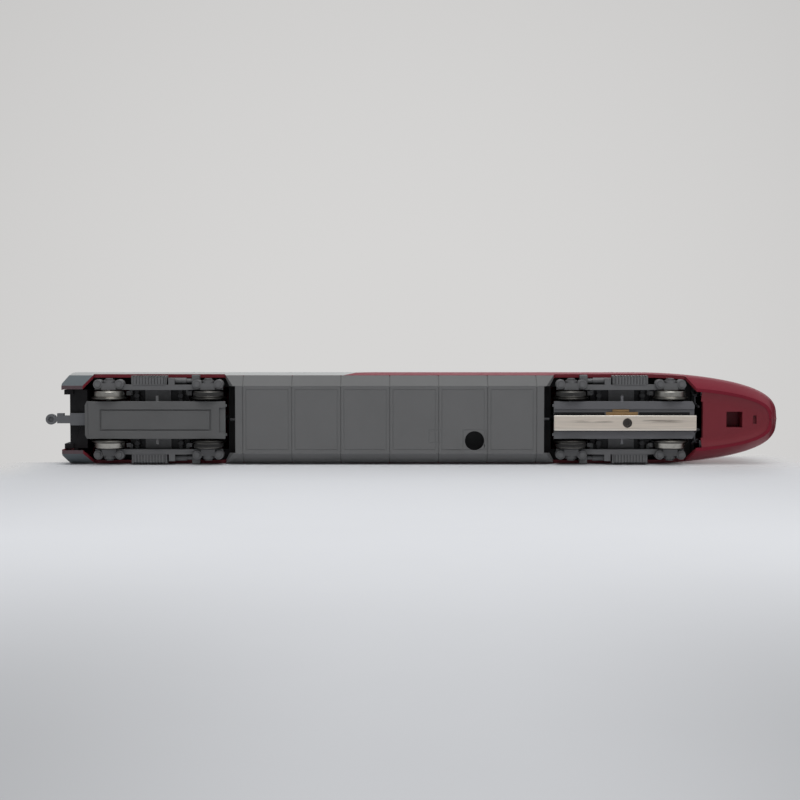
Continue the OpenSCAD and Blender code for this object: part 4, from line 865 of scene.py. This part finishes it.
# Details of the body
SIDE_WINDOW = [(43.3, 28.2), (32.6, 28.2), (36.8, 35.8), (43.3, 35.8)]
WINDSCREEN = [(8.8, 27.2), (7.15, 38.3), (-7.15, 38.3), (-8.8, 27.2)]
LAMP_SEAL = rectangle(7.4, 11.2, 14.4, 17.6)
LAMPS = ((8.55, 16.0, 0.85), (10.2, 16.0, 0.62))
TRAY_WALL, TRAY_END_Z, TRAY_SIDE_Z = 1.0, 45.6, 44.6
HANDLE_Z, HANDLE_INSET, LOUVRES = (23.2, 25.0), 1.1, 11
FAN_RING_Z, FAN_HUB_Z, BLADE_Z, CUP_Z = 47.35, 46.6, 46.95, 45.3
DUCT_Y, DUCT_STATIONS, DUCT_LIFT = 8.6, [64 + 2 * i for i in range(66)], 0.35
HORN_Y, HORN_STATION, HORN_BACK, HORN_SUNK = 3.2, 58.0, 2.4, 0.12
DOOR_SEAL_INSET, DOOR_SEAL_Z, DOOR_PANE_INSET, DOOR_PANE_Z = 1.5, (28.2, 35.6), 1.6, (28.3, 35.5)
WIPER_ARM, WIPER_BLADE = ((5.4, 26.6), (2.2, 32.6)), ((3.6, 28.6), (1.2, 36.4))
# Sections of strips: width, then the lower and upper side over the skin
WIDE_SEAL, NARROW_SEAL, DOOR_PANE = (0.62, -0.2, 0.08), (0.5, -0.2, 0.08), (-0.25, 0.02)
SLAT, UPRIGHT, VENT_FRAME = (0.5, -0.62, -0.04), (0.36, -0.62, 0.0), (0.4, -0.5, 0.06)
ARM_BAR, BLADE_BAR = (0.34, 0.12, 0.42), (0.3, -0.02, 0.2)


def roof_well_tray(bm):
    """Walls and floor of the pantograph's roof well."""
    (x0, x1), h, wall = WELL_X, WELL_HALF, TRAY_WALL
    add_box(bm, (x0 - wall, x1 + wall), (-h - wall, h + wall), (WELL_FLOOR - wall, WELL_FLOOR))
    for x in ((x0 - wall, x0), (x1, x1 + wall)):
        add_box(bm, x, (-h, h), (WELL_FLOOR, TRAY_END_Z))
    for y in ((-h - wall, -h), (h, h + wall)):
        add_box(bm, (x0 - wall, x1 + wall), y, (WELL_FLOOR, TRAY_SIDE_Z))


def window_seals(bm):
    """Rubber round the cab windows, the door windows, the windscreen and the lamps."""
    for surface in FLANKS:
        add_strip(bm, surface, SIDE_WINDOW, *WIDE_SEAL)
        for door in DOORS:
            pane = rectangle(door[0] + DOOR_SEAL_INSET, door[1] - DOOR_SEAL_INSET, *DOOR_SEAL_Z)
            add_strip(bm, surface, pane, *NARROW_SEAL)
    add_strip(bm, on_nose, WINDSCREEN, *WIDE_SEAL)
    for side in SIDES:
        add_strip(bm, on_nose, [(side * y, z) for y, z in LAMP_SEAL], *NARROW_SEAL)


def door_windows(bm):
    """Panes of the doors, nearly flush with the skin."""
    for surface in FLANKS:
        for door in DOORS:
            width = (door[0] + DOOR_PANE_INSET, door[1] - DOOR_PANE_INSET)
            add_patch(bm, surface, width, DOOR_PANE_Z, *DOOR_PANE)


def add_handle(bm, surface, at, low, high, foot, bar, radius):
    """Upright bar from low to high at a station, bent into the side at both ends."""
    bends = ((low, foot), (low, bar), (high, bar), (high, foot))
    add_tube(bm, [lifted(surface, at, z, height) for z, height in bends], radius)


def grab_rails(bm):
    """Rails in the pockets beside the doors, and the door handles."""
    for surface in FLANKS:
        for at in RAILS:
            add_handle(bm, surface, at, RAIL_LOW + 0.5, RAIL_HIGH - 0.5, -0.8, -0.25, 0.2)
        for door in DOORS:
            add_handle(bm, surface, door[1] - HANDLE_INSET, *HANDLE_Z, -0.1, 0.09, 0.14)


def vent_slats(bm):
    """Louvres, two uprights and a frame in each vent."""
    for surface in FLANKS:
        for a0, a1, b0, b1 in VENTS:
            for i in range(LOUVRES):
                z = b0 + (b1 - b0) * (i + 0.5) / LOUVRES
                add_strip(bm, surface, [(a0 - 0.05, z), (a1 + 0.05, z)], *SLAT, False)
            for at in (a0 + (a1 - a0) / 3, a1 - (a1 - a0) / 3):
                add_strip(bm, surface, [(at, b0 - 0.05), (at, b1 + 0.05)], *UPRIGHT, False)
            add_strip(bm, surface, rectangle(a0, a1, b0, b1), *VENT_FRAME)


def roof_fans(bm):
    """Guard rings, four spokes and a hub over each fan."""
    hub = [(0, 0), (1.0, 0), (1.0, 0.7), (0.7, 0.9), (0, 0.9)]
    for at in FAN_STATIONS:
        middle = Vector((NOSE_X - at, 0, FAN_RING_Z))
        for r in (FAN_RADIUS - 0.12, FAN_RADIUS * 0.7, FAN_RADIUS * 0.42):
            add_tube(bm, [middle + Vector((r * c, r * s, 0)) for c, s in round_steps(36)], 0.12, 8, True)
        for c, s in round_steps(8)[1::2]:
            add_tube(bm, [middle, middle + Vector((c, s, 0)) * (FAN_RADIUS - 0.1)], 0.12, 8)
        add_lathe(bm, (middle.x, 0, FAN_HUB_Z), UP, hub)


def fan_blades(bm):
    """Seven blades in each fan, over a shallow cup that closes its opening."""
    outer, inner, tip = FAN_RADIUS + 0.7, FAN_RADIUS + 0.1, FAN_RADIUS - 0.4
    cup = [(0, 0), (outer, 0), (outer, 0.9), (inner, 0.9), (inner, 0.4), (0, 0.4)]
    blade = ((0.8, -0.45, -0.14), (0.8, 0.45, 0.14), (tip, 0.95, 0.16), (tip, -0.95, -0.16))
    for at in FAN_STATIONS:
        x = NOSE_X - at
        add_lathe(bm, (x, 0, CUP_Z), UP, cup)
        for c, s in round_steps(7):
            corners = [Vector((x + c * r - s * w, s * r + c * w, BLADE_Z + h)) for r, w, h in blade]
            faces = [[bm.verts.new((p + Vector(UP) * h) * MM) for p in corners] for h in (-0.05, 0.05)]
            join_rings(bm, faces)


def roof_ducts(bm):
    """A round duct along each edge of the roof, sunk at its ends, with saddles."""
    first, last = DUCT_STATIONS[0], DUCT_STATIONS[-1]
    end = Vector((1.2, 0, 0))
    for y in (DUCT_Y, -DUCT_Y):
        line = [lifted(on_roof, at, y, DUCT_LIFT) for at in DUCT_STATIONS]
        start, stop = (lifted(on_roof, at, y, DUCT_LIFT - 1.0) for at in (first, last))
        add_tube(bm, [start + end] + line + [stop - end], 0.42, 12)
        for at in DUCT_STATIONS[3::7]:
            add_patch(bm, on_roof, (at - 0.5, at + 0.5), (y - 0.9, y + 0.9), -0.1, 0.3, 0.9)
            add_patch(bm, on_roof, (at - 0.35, at + 0.35), (y - 0.52, y + 0.52), 0.1, 0.9, 0.5)


def horns(bm):
    """Two horns on the roof behind the cab."""
    trumpet = [(0, 0), (0.28, 0), (0.28, 1.4), (0.2, 1.8), (0.2, 3.6), (0.28, 4.4), (0.46, 5.0), (0.38, 5.0),
               (0.2, 4.3), (0, 4.3)]
    for y in (HORN_Y, -HORN_Y):
        seat = on_roof(HORN_STATION, y) - Vector((HORN_BACK, 0, HORN_SUNK))
        add_lathe(bm, seat, (1, 0, 0), trumpet)


def wipers(bm):
    """Arm, blade and hub of two wipers on the windscreen."""
    hub = [(0, -0.1), (0.5, -0.1), (0.5, 0.35), (0.35, 0.5), (0, 0.5)]
    for side in SIDES:
        for line, section in ((WIPER_ARM, ARM_BAR), (WIPER_BLADE, BLADE_BAR)):
            add_strip(bm, on_nose, [(side * y, z) for y, z in line], *section, False)
        at = (side * WIPER_ARM[0][0], WIPER_ARM[0][1])
        add_lathe(bm, on_nose(*at), outward(on_nose, *at), hub, 16)


def lamp_rings(bm):
    """Reflectors of the head and marker lamps."""
    for side in SIDES:
        for y, z, r in LAMPS:
            at = (side * y, z)
            bowl = [(0, -0.6), (r, -0.6), (r, -0.02), (r * 0.8, -0.02), (r * 0.55, -0.3), (0, -0.42)]
            add_lathe(bm, on_nose(*at), outward(on_nose, *at), bowl)


body_pieces(
    (roof_well_tray, GREY_ROOF, 0.05, 35), (window_seals, BLACK_PLASTIC, 0.0, 40),
    (door_windows, GLASS_DARK, 0.0, 40), (grab_rails, STEEL, 0.0, 60), (vent_slats, GREY_ROOF, 0.0, 40),
    (roof_fans, GREY_ROOF, 0.0, 40), (fan_blades, BLACK_PLASTIC, 0.0, 40), (roof_ducts, GREY_ROOF, 0.0, 40),
    (horns, STEEL, 0.0, 50), (wipers, BLACK_PLASTIC, 0.0, 40), (lamp_rings, STEEL, 0.0, 50),
)


# Details of the nose floor and the rear end
COVE = [(-0.25, 3.6), (0.0, 3.64), (0.4, 3.74), (0.9, 3.88), (1.5, 4.02), (2.1, 4.11), (2.7, 4.16),
        (3.3, 4.19), (3.3, 4.4), (-0.25, 4.4)]
COVE_START, COVE_REACH, COVE_STEPS, COVE_HEART = 4.36, 23.2, 40, Vector((100.0, 0.0))
WALL_X = REAR_X + REAR_TAPER + 0.8
BELLOWS_Y, BELLOWS_Z, BELLOWS_ROUND = 6.3, (16.6, 36.6), 1.2
END_LAMP_Y, END_LAMP_Z, END_RAIL_Y, LATCH_Z = 11.0, 21.0, 9.2, 25.2
LEAF_YZ, PANEL_YZ = ((-4.4, 4.4), (16.6, 34.8)), ((-3.6, 3.6), (17.4, 24.4))
PANE_YZ = ((-2.6, 2.6), (26.4, 33.4))
RIB_Y, RIB_HALF, RIB_Z = (-2.2, 0.0, 2.2), 0.8, (18.0, 23.8)
SOCKET_Y, SOCKET_HALF, SOCKET_Z = (-11.6, -9.4, 9.4, 11.6), 0.8, (16.6, 18.4)
SLOT_X, SLOT_Y, SLOT_Z = (NOSE_X - 10.3, NOSE_X - 7.9), (-2.1, 2.1), (5.22, 5.7)
HOLE_DEPTH = 4.5
BACKWARD = (-1, 0, 0)


def nose_cove(bm):
    """Rounded step between the rim of the nose and its floor panel."""
    stations = [COVE_START + COVE_REACH * (i / COVE_STEPS) ** 1.8 for i in range(COVE_STEPS + 1)]
    edge = [(NOSE_X - at, floor_y(at, SHELL_WALL)) for at in stations]
    line = [Vector((x, -y)) for x, y in reversed(edge)] + [Vector(p) for p in edge]
    rings = []
    for i, point in enumerate(line):
        along = line[min(len(line) - 1, i + 1)] - line[max(0, i - 1)]
        inward = along.orthogonal().normalized()
        if inward.dot(COVE_HEART - point) < 0:
            inward = -inward
        rings.append([bm.verts.new(Vector((*(point + inward * d), z)) * MM) for d, z in COVE])
    join_rings(bm, rings)


def slot_floor(bm):
    """Red floor behind the narrow slot of the nose panel."""
    add_box(bm, SLOT_X, SLOT_Y, SLOT_Z)


def hole_shade_disc(bm):
    """Dark dished plate behind the round hole of the underfloor, a dark sheet that stands in for the shade
    inside the hole.
    """
    dish = [(0, 0.25), (2.4, 0.2), (3.0, 0), (3.7, 0), (3.7, 0.5), (0, 0.6)]
    add_lathe(bm, (HOLE_X, HOLE_Y, FLOOR_Z + HOLE_DEPTH), UP, dish)


def gangway_bellows(bm):
    """Three folds of the rubber ring round the end door."""
    (low, high), half = BELLOWS_Z, BELLOWS_Y
    for i in range(3):
        x, radius = WALL_X - 0.7 - 0.75 * i, BELLOWS_ROUND + 0.25 * (i % 2)
        path = []
        for y, z, start in ((half, high, 0), (-half, high, 90), (-half, low, 180), (half, low, 270)):
            for k in range(5):
                turn = math.radians(start + 22.5 * k)
                path.append((x, y + radius * math.cos(turn), z + radius * math.sin(turn)))
        add_tube(bm, path, 0.48, 10, True)


def end_door(bm):
    """End door with a lower panel of three ribs."""
    add_box(bm, (WALL_X - 0.15, WALL_X + 0.6), *LEAF_YZ)
    add_box(bm, (WALL_X - 0.35, WALL_X), *PANEL_YZ)
    for y in RIB_Y:
        add_box(bm, (WALL_X - 0.5, WALL_X - 0.3), (y - RIB_HALF, y + RIB_HALF), RIB_Z)


def end_glass(bm):
    """Pane of the end door and the two tail lamps."""
    lamp = [(0, -0.2), (1.1, -0.2), (1.1, 0.2), (0.8, 0.45), (0, 0.55)]
    add_box(bm, (WALL_X - 0.3, WALL_X), *PANE_YZ)
    for y in (END_LAMP_Y, -END_LAMP_Y):
        add_lathe(bm, (WALL_X, y, END_LAMP_Z), BACKWARD, lamp)


def end_fittings(bm):
    """Rails beside the end door, rings of the tail lamps and the door's latch."""
    ring = [(0, 0), (1.45, 0), (1.45, 0.3), (1.12, 0.35), (0, 0.35)]
    for side in SIDES:
        bends = ((0.0, 24), (0.9, 24), (0.9, 35), (0.0, 35))
        add_tube(bm, [(WALL_X - out, side * END_RAIL_Y, z) for out, z in bends], 0.24)
        add_lathe(bm, (WALL_X, side * END_LAMP_Y, END_LAMP_Z), BACKWARD, ring)
    latch = ((0.1, 3.2), (0.55, 3.2), (0.55, 1.9))
    add_tube(bm, [(WALL_X - out, y, LATCH_Z) for out, y in latch], 0.18)


def end_sockets(bm):
    """Four cable sockets with round plugs."""
    plug = [(0, 0), (0.6, 0), (0.6, 0.5), (0.45, 0.65), (0, 0.65)]
    for y in SOCKET_Y:
        add_box(bm, (WALL_X - 0.9, WALL_X + 0.1), (y - SOCKET_HALF, y + SOCKET_HALF), SOCKET_Z)
        add_lathe(bm, (WALL_X - 0.8, y, sum(SOCKET_Z) / 2), BACKWARD, plug, 16)


# Leads as (x, offset towards the middle, z), each followed by its radius
LONG_LEAD = [(100.7, 0, 12.6), (99.6, 0.2, 9.4), (98.9, 1.4, 8.7), (99.0, 3.2, 8.9), (100.2, 4.4, 11.6)], 0.3
SHORT_LEAD = [(98.6, -0.6, 12.8), (98.5, 0.4, 9.6), (99.4, 1.0, 9.0), (100.6, 1.2, 12.0)], 0.34


def gap_leads(bm):
    """Lamp leads ahead of the front bogie and sleeve ends at the tub."""
    sleeve = [(0, -2.6), (0.5, -2.6), (0.5, -0.2), (0.36, 0.1), (0, 0.2)]
    for y, bend in ((-9.0, 1), (8.6, -1)):
        for route, radius in (LONG_LEAD, SHORT_LEAD):
            add_tube(bm, [(x, y + bend * inward, z) for x, inward, z in route], radius)
        add_lathe(bm, (100.4, y + 4.7 * bend, 8.9), (0, 0, -1), sleeve, 14)
    add_tube(bm, [(44.8, 0.2, 10.6), (48.1, 0.2, 10.6)], 0.52, 14)
    add_tube(bm, [(-61.0, 0.3, 10.6), (-64.1, 0.3, 10.6)], 0.45, 14)


body_pieces(
    (gap_leads, COUPLER_PLASTIC, 0.0, 50), (nose_cove, RAW_RED, 0.0, 50), (slot_floor, RAW_RED, 0.04, 35),
    (hole_shade_disc, BLACK_PLASTIC, 0.0, 40), (gangway_bellows, TYRE_RUBBER, 0.0, 50),
    (end_door, GREY_ROOF, 0.06, 35), (end_glass, GLASS_DARK, 0.03, 35), (end_fittings, STEEL, 0.0, 50),
    (end_sockets, BLACK_PLASTIC, 0.05, 35),
)


# Details of the pantograph
ARM_FRONT, ARM_REAR, ARM_Z, STRIP_HALF = -77.5, -95.5, 46.2, 7.8
STRIP_LOW, STRIP_TOP, STRIP_HALF_WIDTH, BAR_OFFSET = ARM_Z + 1.55, ARM_Z + 1.79, 0.38, 2.2
INSULATOR_Y, RAISER_Y, RAISER_Z = 5.6, 3.6, WELL_FLOOR + 0.95


def coil(turns, steps, radius, length):
    """Points of a coil: two places across its axis and one along it."""
    shares = [i / steps for i in range(steps + 1)]
    angles = [2 * math.pi * turns * share for share in shares]
    return [(radius * math.cos(a), radius * math.sin(a), length * share) for a, share in zip(angles, shares)]


def carbon_strips(bm):
    """Rubbing strips on the two bars of the head, with chamfered ends."""
    low, top = STRIP_HALF - 2.4, STRIP_HALF - 3.0
    outline = [(-low, STRIP_LOW), (low, STRIP_LOW), (top, STRIP_TOP), (-top, STRIP_TOP)]
    for x in (ARM_FRONT - BAR_OFFSET, ARM_FRONT + BAR_OFFSET):
        add_prism(bm, outline, (x - STRIP_HALF_WIDTH, x + STRIP_HALF_WIDTH), on_end)


def ceramic_sheds(bm):
    """Glazed ribs round the four insulators of the pantograph frame."""
    profile = [(0, 0.02), (0.8, 0.02)]
    for low in (0.1, 0.5, 0.9):
        profile += [(0.8, low), (1.3, low + 0.12), (1.3, low + 0.2), (0.8, low + 0.32)]
    profile += [(0.8, 1.35), (0, 1.35)]
    for x in (ARM_REAR - 0.1, ARM_FRONT + 1.5):
        for y in (INSULATOR_Y, -INSULATOR_Y):
            add_lathe(bm, (x, y, WELL_FLOOR), UP, profile, 20)


def arm_spring(bm):
    """Two raising springs under the side bars of the folded head, each on a rod between two blocks."""
    start, rod = ARM_FRONT - 8.5, (ARM_FRONT - 9.4, ARM_FRONT + 1.4)
    for y in (RAISER_Y, -RAISER_Y):
        add_tube(bm, [(start + w, y + u, RAISER_Z + v) for u, v, w in coil(15, 120, 0.45, 8.0)], 0.13, 6)
        add_tube(bm, [(x, y, RAISER_Z) for x in rod], 0.16, 8)
        for x in (rod[0] + 0.2, rod[1] - 0.2):
            add_box(bm, (x - 0.3, x + 0.3), (y - 0.5, y + 0.5), (WELL_FLOOR - 0.05, WELL_FLOOR + 1.38))


piece("carbon_strips", carbon_strips, BLACK_CAST, "pantograph_top", 0.04)
body_pieces(
    (ceramic_sheds, CERAMIC, 0.0, 40), (arm_spring, STEEL, 0.0, 40),
)


# Details of the bogies
FRAME_OUT, FRAME_MID, POT_OFFSET, BOLT_CIRCLE = 12.15, 12.25, 3.7, 1.68
RIGGING_Y, RIGGING_OFFSET, COVER_HALF, POST_Y = (5.0, 10.9), 7.6, 10.3, 8.3
LEAF_ROOF, LEAF_LOW, LEAF_KEEP, LEAF_THICK = 2.35, 1.45, 0.11, 0.2
SHOE_EDGE = SHOE_Y - SHOE_HALF
LEAF_OUTER, LEAF_INNER = SHOE_EDGE - 1.95, SHOE_EDGE + 0.35
LONG_BLADE = [(-5.5, LEAF_ROOF - 0.02), (-5.2, LEAF_ROOF - 0.25), (-2.9, LEAF_LOW + 0.06), (-2.3, LEAF_LOW),
              (2.3, LEAF_LOW), (2.9, LEAF_LOW + 0.06), (5.2, LEAF_ROOF - 0.25), (5.5, LEAF_ROOF - 0.02)]
SHORT_BLADE = [(-3.3, LEAF_ROOF - 0.02), (-3.1, LEAF_ROOF - 0.2), (-1.2, LEAF_LOW + 0.42),
               (1.0, LEAF_LOW + 0.42), (2.3, LEAF_ROOF - 0.2), (2.5, LEAF_ROOF - 0.02)]


def axle_boxes(pivot):
    """Side and X of the four axle boxes of a bogie."""
    return [(side, pivot + axle) for side in SIDES for axle in (-AXLE_X, AXLE_X)]


def bogie_springs(pivot):
    """A coil spring on each side of every axle box."""
    def build(bm):
        for side, x in axle_boxes(pivot):
            for dx in (-POT_OFFSET, POT_OFFSET):
                foot = Vector((x + dx, side * FRAME_MID, AXLE_Z - 1.9))
                add_tube(bm, [foot + Vector(p) for p in coil(5, 80, 1.5, 3.7)], 0.23, 8)
    return build


def bogie_bolts(pivot):
    """Four hexagon bolts on every axle box."""
    head = [(0, -0.1), (0.27, -0.1), (0.27, 0.22), (0.18, 0.3), (0, 0.3)]

    def build(bm):
        for side, x in axle_boxes(pivot):
            for c, s in round_steps(8)[1::2]:
                at = (x + BOLT_CIRCLE * c, side * (FRAME_OUT + 1.45), AXLE_Z + BOLT_CIRCLE * s)
                add_lathe(bm, at, (0, side, 0), head, 6)
    return build


def brake_rigging(pivot):
    """Cross beams and posts between a gear housing and its side frames, under a cover plate, in a dark grey
    that is partly painted shade of the gap.
    """
    post = [(0, 0), (0.85, 0), (1.0, 0.2), (1.0, 3.1), (0, 3.1)]

    def build(bm):
        for side in SIDES:
            y = sorted(side * reach for reach in RIGGING_Y)
            add_box(bm, (pivot - COVER_HALF, pivot + COVER_HALF), y, (8.7, 9.1))
            for x in (pivot - RIGGING_OFFSET, pivot + RIGGING_OFFSET):
                add_box(bm, (x - 0.6, x + 0.6), y, (6.0, 6.9))
                add_lathe(bm, (x, side * POST_Y, 5.7), UP, post, 16)
    return build


def pickup_leaf(bm):
    """Bronze leaf with a long lower blade and a short stepped blade, hung from the slot of the cover."""
    blades = ((LONG_BLADE, (LEAF_OUTER + 0.85, LEAF_INNER)), (SHORT_BLADE, (LEAF_OUTER, LEAF_OUTER + 0.8)))
    for blade, across in blades:
        line = [(FRONT_PIVOT + x, min(z, LEAF_ROOF - LEAF_THICK)) for x, z in blade]
        outline = line + [(x, z + LEAF_THICK) for x, z in reversed(line)]
        add_prism(bm, outline, across, on_side)


def slot_shade_strips(bm):
    """Dark strips in the slot of the cover, beside the shoe, standing in for the shade in the gap along its
    edges.
    """
    for rear, front in ((-23.5, -6.0), (5.9, 23.5)):
        add_box(bm, (FRONT_PIVOT + rear, FRONT_PIVOT + front), (SHOE_EDGE - 1.0, SHOE_EDGE + 0.5),
                (LEAF_ROOF - 0.08, LEAF_ROOF + 0.05))


leaf = piece("pickup_leaf", pickup_leaf, BRONZE, "front_bogie", 0.0, 30)
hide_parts("slider_spring")
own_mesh(leaf)
piece("slot_shade_strips", slot_shade_strips, BLACK_PLASTIC, "front_bogie", 0.02)

for bogie, pivot in (("front", FRONT_PIVOT), ("rear", REAR_PIVOT)):
    piece(bogie + "_rigging", brake_rigging(pivot), HOUSING_DARK_AND_SHADE, bogie + "_bogie", 0.04)
    piece(bogie + "_springs", bogie_springs(pivot), GREY_BOGIE, bogie + "_bogie", 0.0, 60)
    piece(bogie + "_bolts", bogie_bolts(pivot), GREY_BOGIE, bogie + "_bogie", 0.0, 40)


# Stage. In the photo the car lies on its left side, rolled a little towards the camera. The part stays
# as it is, and the table, the key lamp and the camera turn about the line where the two touch.
ROLL = math.radians(2.8)
CONTACT = Vector((0.0, 15.6, WAIST_Z))
TILT = math.tan(math.radians(4.5) - ROLL)
NEAR, HIND, BACK, WIDE, GROUND_HALF = -900.0, 12.0, 60.0, 1500.0, 1000.0
HIND_REAR, HIND_FRONT = -160, 165
NOSE_FADE_X = (84, 108)
TABLE_PAPER, GROUND_PAPER, PAPER_SHADE = srgb(226, 227, 230), srgb(226, 227, 228), (0.16, 0.16, 0.16, 1)
WHITE = (1, 1, 1, 1)


def rolled(place):
    """Where a place of the photo's set lies when the set is rolled about the contact line."""
    return CONTACT + Matrix.Rotation(-ROLL, 3, "X") @ (Vector(place) - CONTACT)


def table_corners(rear, front, near, far):
    """Corners of a stretch of the table top under the car's left side."""
    return [(x, CONTACT.y + (CONTACT.z - z) * TILT, z) for x, z in rectangle(rear, front, near, far)]


def stage_plane(name, corners, material):
    """Single face that belongs to the set and not to the part."""
    bm = bmesh.new()
    bm.faces.new([bm.verts.new(Vector(c) * MM) for c in corners])
    obj = mesh_object(name, bm, material)
    return obj


def paper_painted_shade(g):
    """Painted shade on the paper: darker towards the camera, more so at its sides, and beside the car."""
    aside = g.distance(g.x)
    near = g.times(g.step(g.z, -130, -340), 0.30)
    wide = g.times(g.step(aside, 8, 75), g.step(g.z, -150, -360), 0.22)
    beside = g.times(g.step(aside, 60, 125), g.step(g.z, -160, -40), 0.13)
    return g.math("ADD", g.math("ADD", near, wide), beside)


def one_sided(name, colour, fade):
    """Pale paper that shows only from its front; fade(graph) gives how much of it is there."""
    g = Graph(name)
    paper = g.tinted(colour, 0.01, g.noise(0.02, 3))
    g.set(Base_Color=g.mix(paper_painted_shade(g), paper, PAPER_SHADE), Roughness=0.9, Specular_IOR_Level=0.1)
    clear = g.node("ShaderNodeBsdfTransparent")
    back = g.node("ShaderNodeNewGeometry").outputs["Backfacing"]
    shown = g.times(g.math("SUBTRACT", 1.0, back), fade(g))
    blend = g.node("ShaderNodeMixShader", {0: shown, 1: clear.outputs[0], 2: g.shader.outputs[0]})
    g.put(g.tree.nodes["Material Output"].inputs["Surface"], blend.outputs[0])
    return g.material


def nose_thinning(g):
    """The paper is partly see-through under the nose, where the photo's shadow is faint."""
    return g.math("MULTIPLY_ADD", g.step(g.x, *NOSE_FADE_X), -0.35, 1.0)


def photo_fade(g):
    """The table ends softly far out at its sides and beyond both ends of the car."""
    beside = g.step(g.distance(g.x, 3.0), 124, 150)
    kept = g.math("SUBTRACT", 1.0, g.times(beside, g.step(g.z, -45, 2)))
    thin = g.mix(g.step(g.z, -16, 8), WHITE, nose_thinning(g))
    return g.times(kept, thin, g.step(g.distance(g.x), 420, 260))


def hind_fade(g):
    """Behind the contact line the paper shows a little way, further and fainter under the nose."""
    depth = g.math("MULTIPLY_ADD", g.step(g.x, *NOSE_FADE_X), 8.0, 17.0)
    deep = g.step(g.math("SUBTRACT", g.z, depth), 11, 0)
    return g.times(deep, g.step(g.x, 148, 112), g.step(g.x, -128, -112), nose_thinning(g))


def ground_fade(g):
    """The ground under the standing car ends in a wide soft circle."""
    far = g.math("SQRT", g.math("ADD", g.times(g.x, g.x), g.times(g.y, g.y)))
    return g.step(far, 900, 480)


stage_plane("table_top", table_corners(-WIDE, WIDE, NEAR, HIND),
            one_sided("table_paper", TABLE_PAPER, photo_fade))
hind = stage_plane("table_hind", table_corners(HIND_REAR, HIND_FRONT, HIND, BACK),
                   one_sided("hind_paper", TABLE_PAPER, hind_fade))
ground_corners = [(x, y, 0) for x, y in rectangle(-GROUND_HALF, GROUND_HALF, -GROUND_HALF, GROUND_HALF)]
ground = stage_plane("ground", ground_corners, one_sided("ground_paper", GROUND_PAPER, ground_fade))
for paper in (ground, hind):
    for attr in ("visible_diffuse", "visible_glossy", "visible_transmission", "visible_shadow"):
        setattr(paper, attr, False)


# Light. The room gives more from the photo's upper side (-Y) and from above the roof (+Z), and the
# backdrop that the camera sees is a little darker away from the photo's middle.
ROOM_TINT, BACKDROP = (0.96, 0.98, 1.0, 1), srgb(214, 213, 212)
ROOM_BASE, ROOM_SIDE, ROOM_ROOF = 0.16, 0.30, 0.45
MIDDLE_COSINE, DIM_RATE, DIM_MOST = 0.995, 2.3, 0.13

world = bpy.data.worlds.new("studio")
bpy.context.scene.world = world
world.use_nodes = True
sky = Nodes(world.node_tree)
rays = sky.node("ShaderNodeLightPath").outputs
seen = sky.math("MAXIMUM", rays["Is Camera Ray"], rays["Is Transmission Ray"])
aim = sky.node("ShaderNodeSeparateXYZ", {0: sky.node("ShaderNodeTexCoord").outputs["Generated"]}).outputs
from_side = sky.math("MAXIMUM", sky.times(aim["Y"], -1.0), 0.0)
from_roof = sky.math("MAXIMUM", aim["Z"], 0.0)
room = sky.math("MULTIPLY_ADD", from_side, ROOM_SIDE, ROOM_BASE)
room = sky.math("MULTIPLY_ADD", from_roof, ROOM_ROOF, room)
# painted shade on the backdrop: darker away from the middle of the view
ahead = sky.math("MULTIPLY_ADD", aim["Y"], math.sin(ROLL), sky.times(aim["Z"], math.cos(ROLL)))
off_middle = sky.times(sky.math("SUBTRACT", MIDDLE_COSINE, ahead), DIM_RATE)
dimming = sky.math("MINIMUM", sky.math("MAXIMUM", off_middle, 0.0), DIM_MOST)
lit = sky.tree.nodes["Background"]
sky.put(lit.inputs["Color"], ROOM_TINT)
sky.put(lit.inputs["Strength"], room)
shown = sky.node("ShaderNodeBackground", {"Color": BACKDROP, "Strength": sky.math("SUBTRACT", 1.0, dimming)})
join = sky.node("ShaderNodeMixShader", {0: seen, 1: lit.outputs[0], 2: shown.outputs[0]})
sky.put(sky.tree.nodes["World Output"].inputs["Surface"], join.outputs[0])


def softbox(name, place, target, size, watts):
    """Square area lamp aimed at target."""
    data = bpy.data.lights.new(name, "AREA")
    data.shape = "SQUARE"
    data.size = size * MM
    data.energy = watts
    obj = bpy.data.objects.new(name, data)
    obj.location = Vector(place) * MM
    obj.rotation_mode = "QUATERNION"
    obj.rotation_quaternion = (Vector(target) - Vector(place)).to_track_quat("-Z", "Y")
    bpy.context.scene.collection.objects.link(obj)


softbox("key_above", rolled((100, -1020, -500)), rolled((0, 0, 0)), 900, 7.3)
softbox("fill_left", (200, 700, 800), (0, 0, 20), 1000, 4.5)
softbox("fill_roof", (300, -500, 1000), (0, 0, 30), 800, 2.5)


# Camera
CAMERA_PLACE, CAMERA_LENS, CAMERA_SENSOR = (-4.4, -6.45, -546.0), 71.1, 36.0

camera_data = bpy.data.cameras.new("camera")
camera_data.sensor_width = CAMERA_SENSOR
camera_data.lens = CAMERA_LENS
camera_data.clip_start, camera_data.clip_end = 0.01, 20
camera = bpy.data.objects.new("camera", camera_data)
camera.location = rolled(CAMERA_PLACE) * MM
camera.rotation_euler = (math.pi - ROLL, 0, 0)
bpy.context.scene.collection.objects.link(camera)
bpy.context.scene.camera = camera
bpy.context.scene.view_settings.view_transform = "Standard"
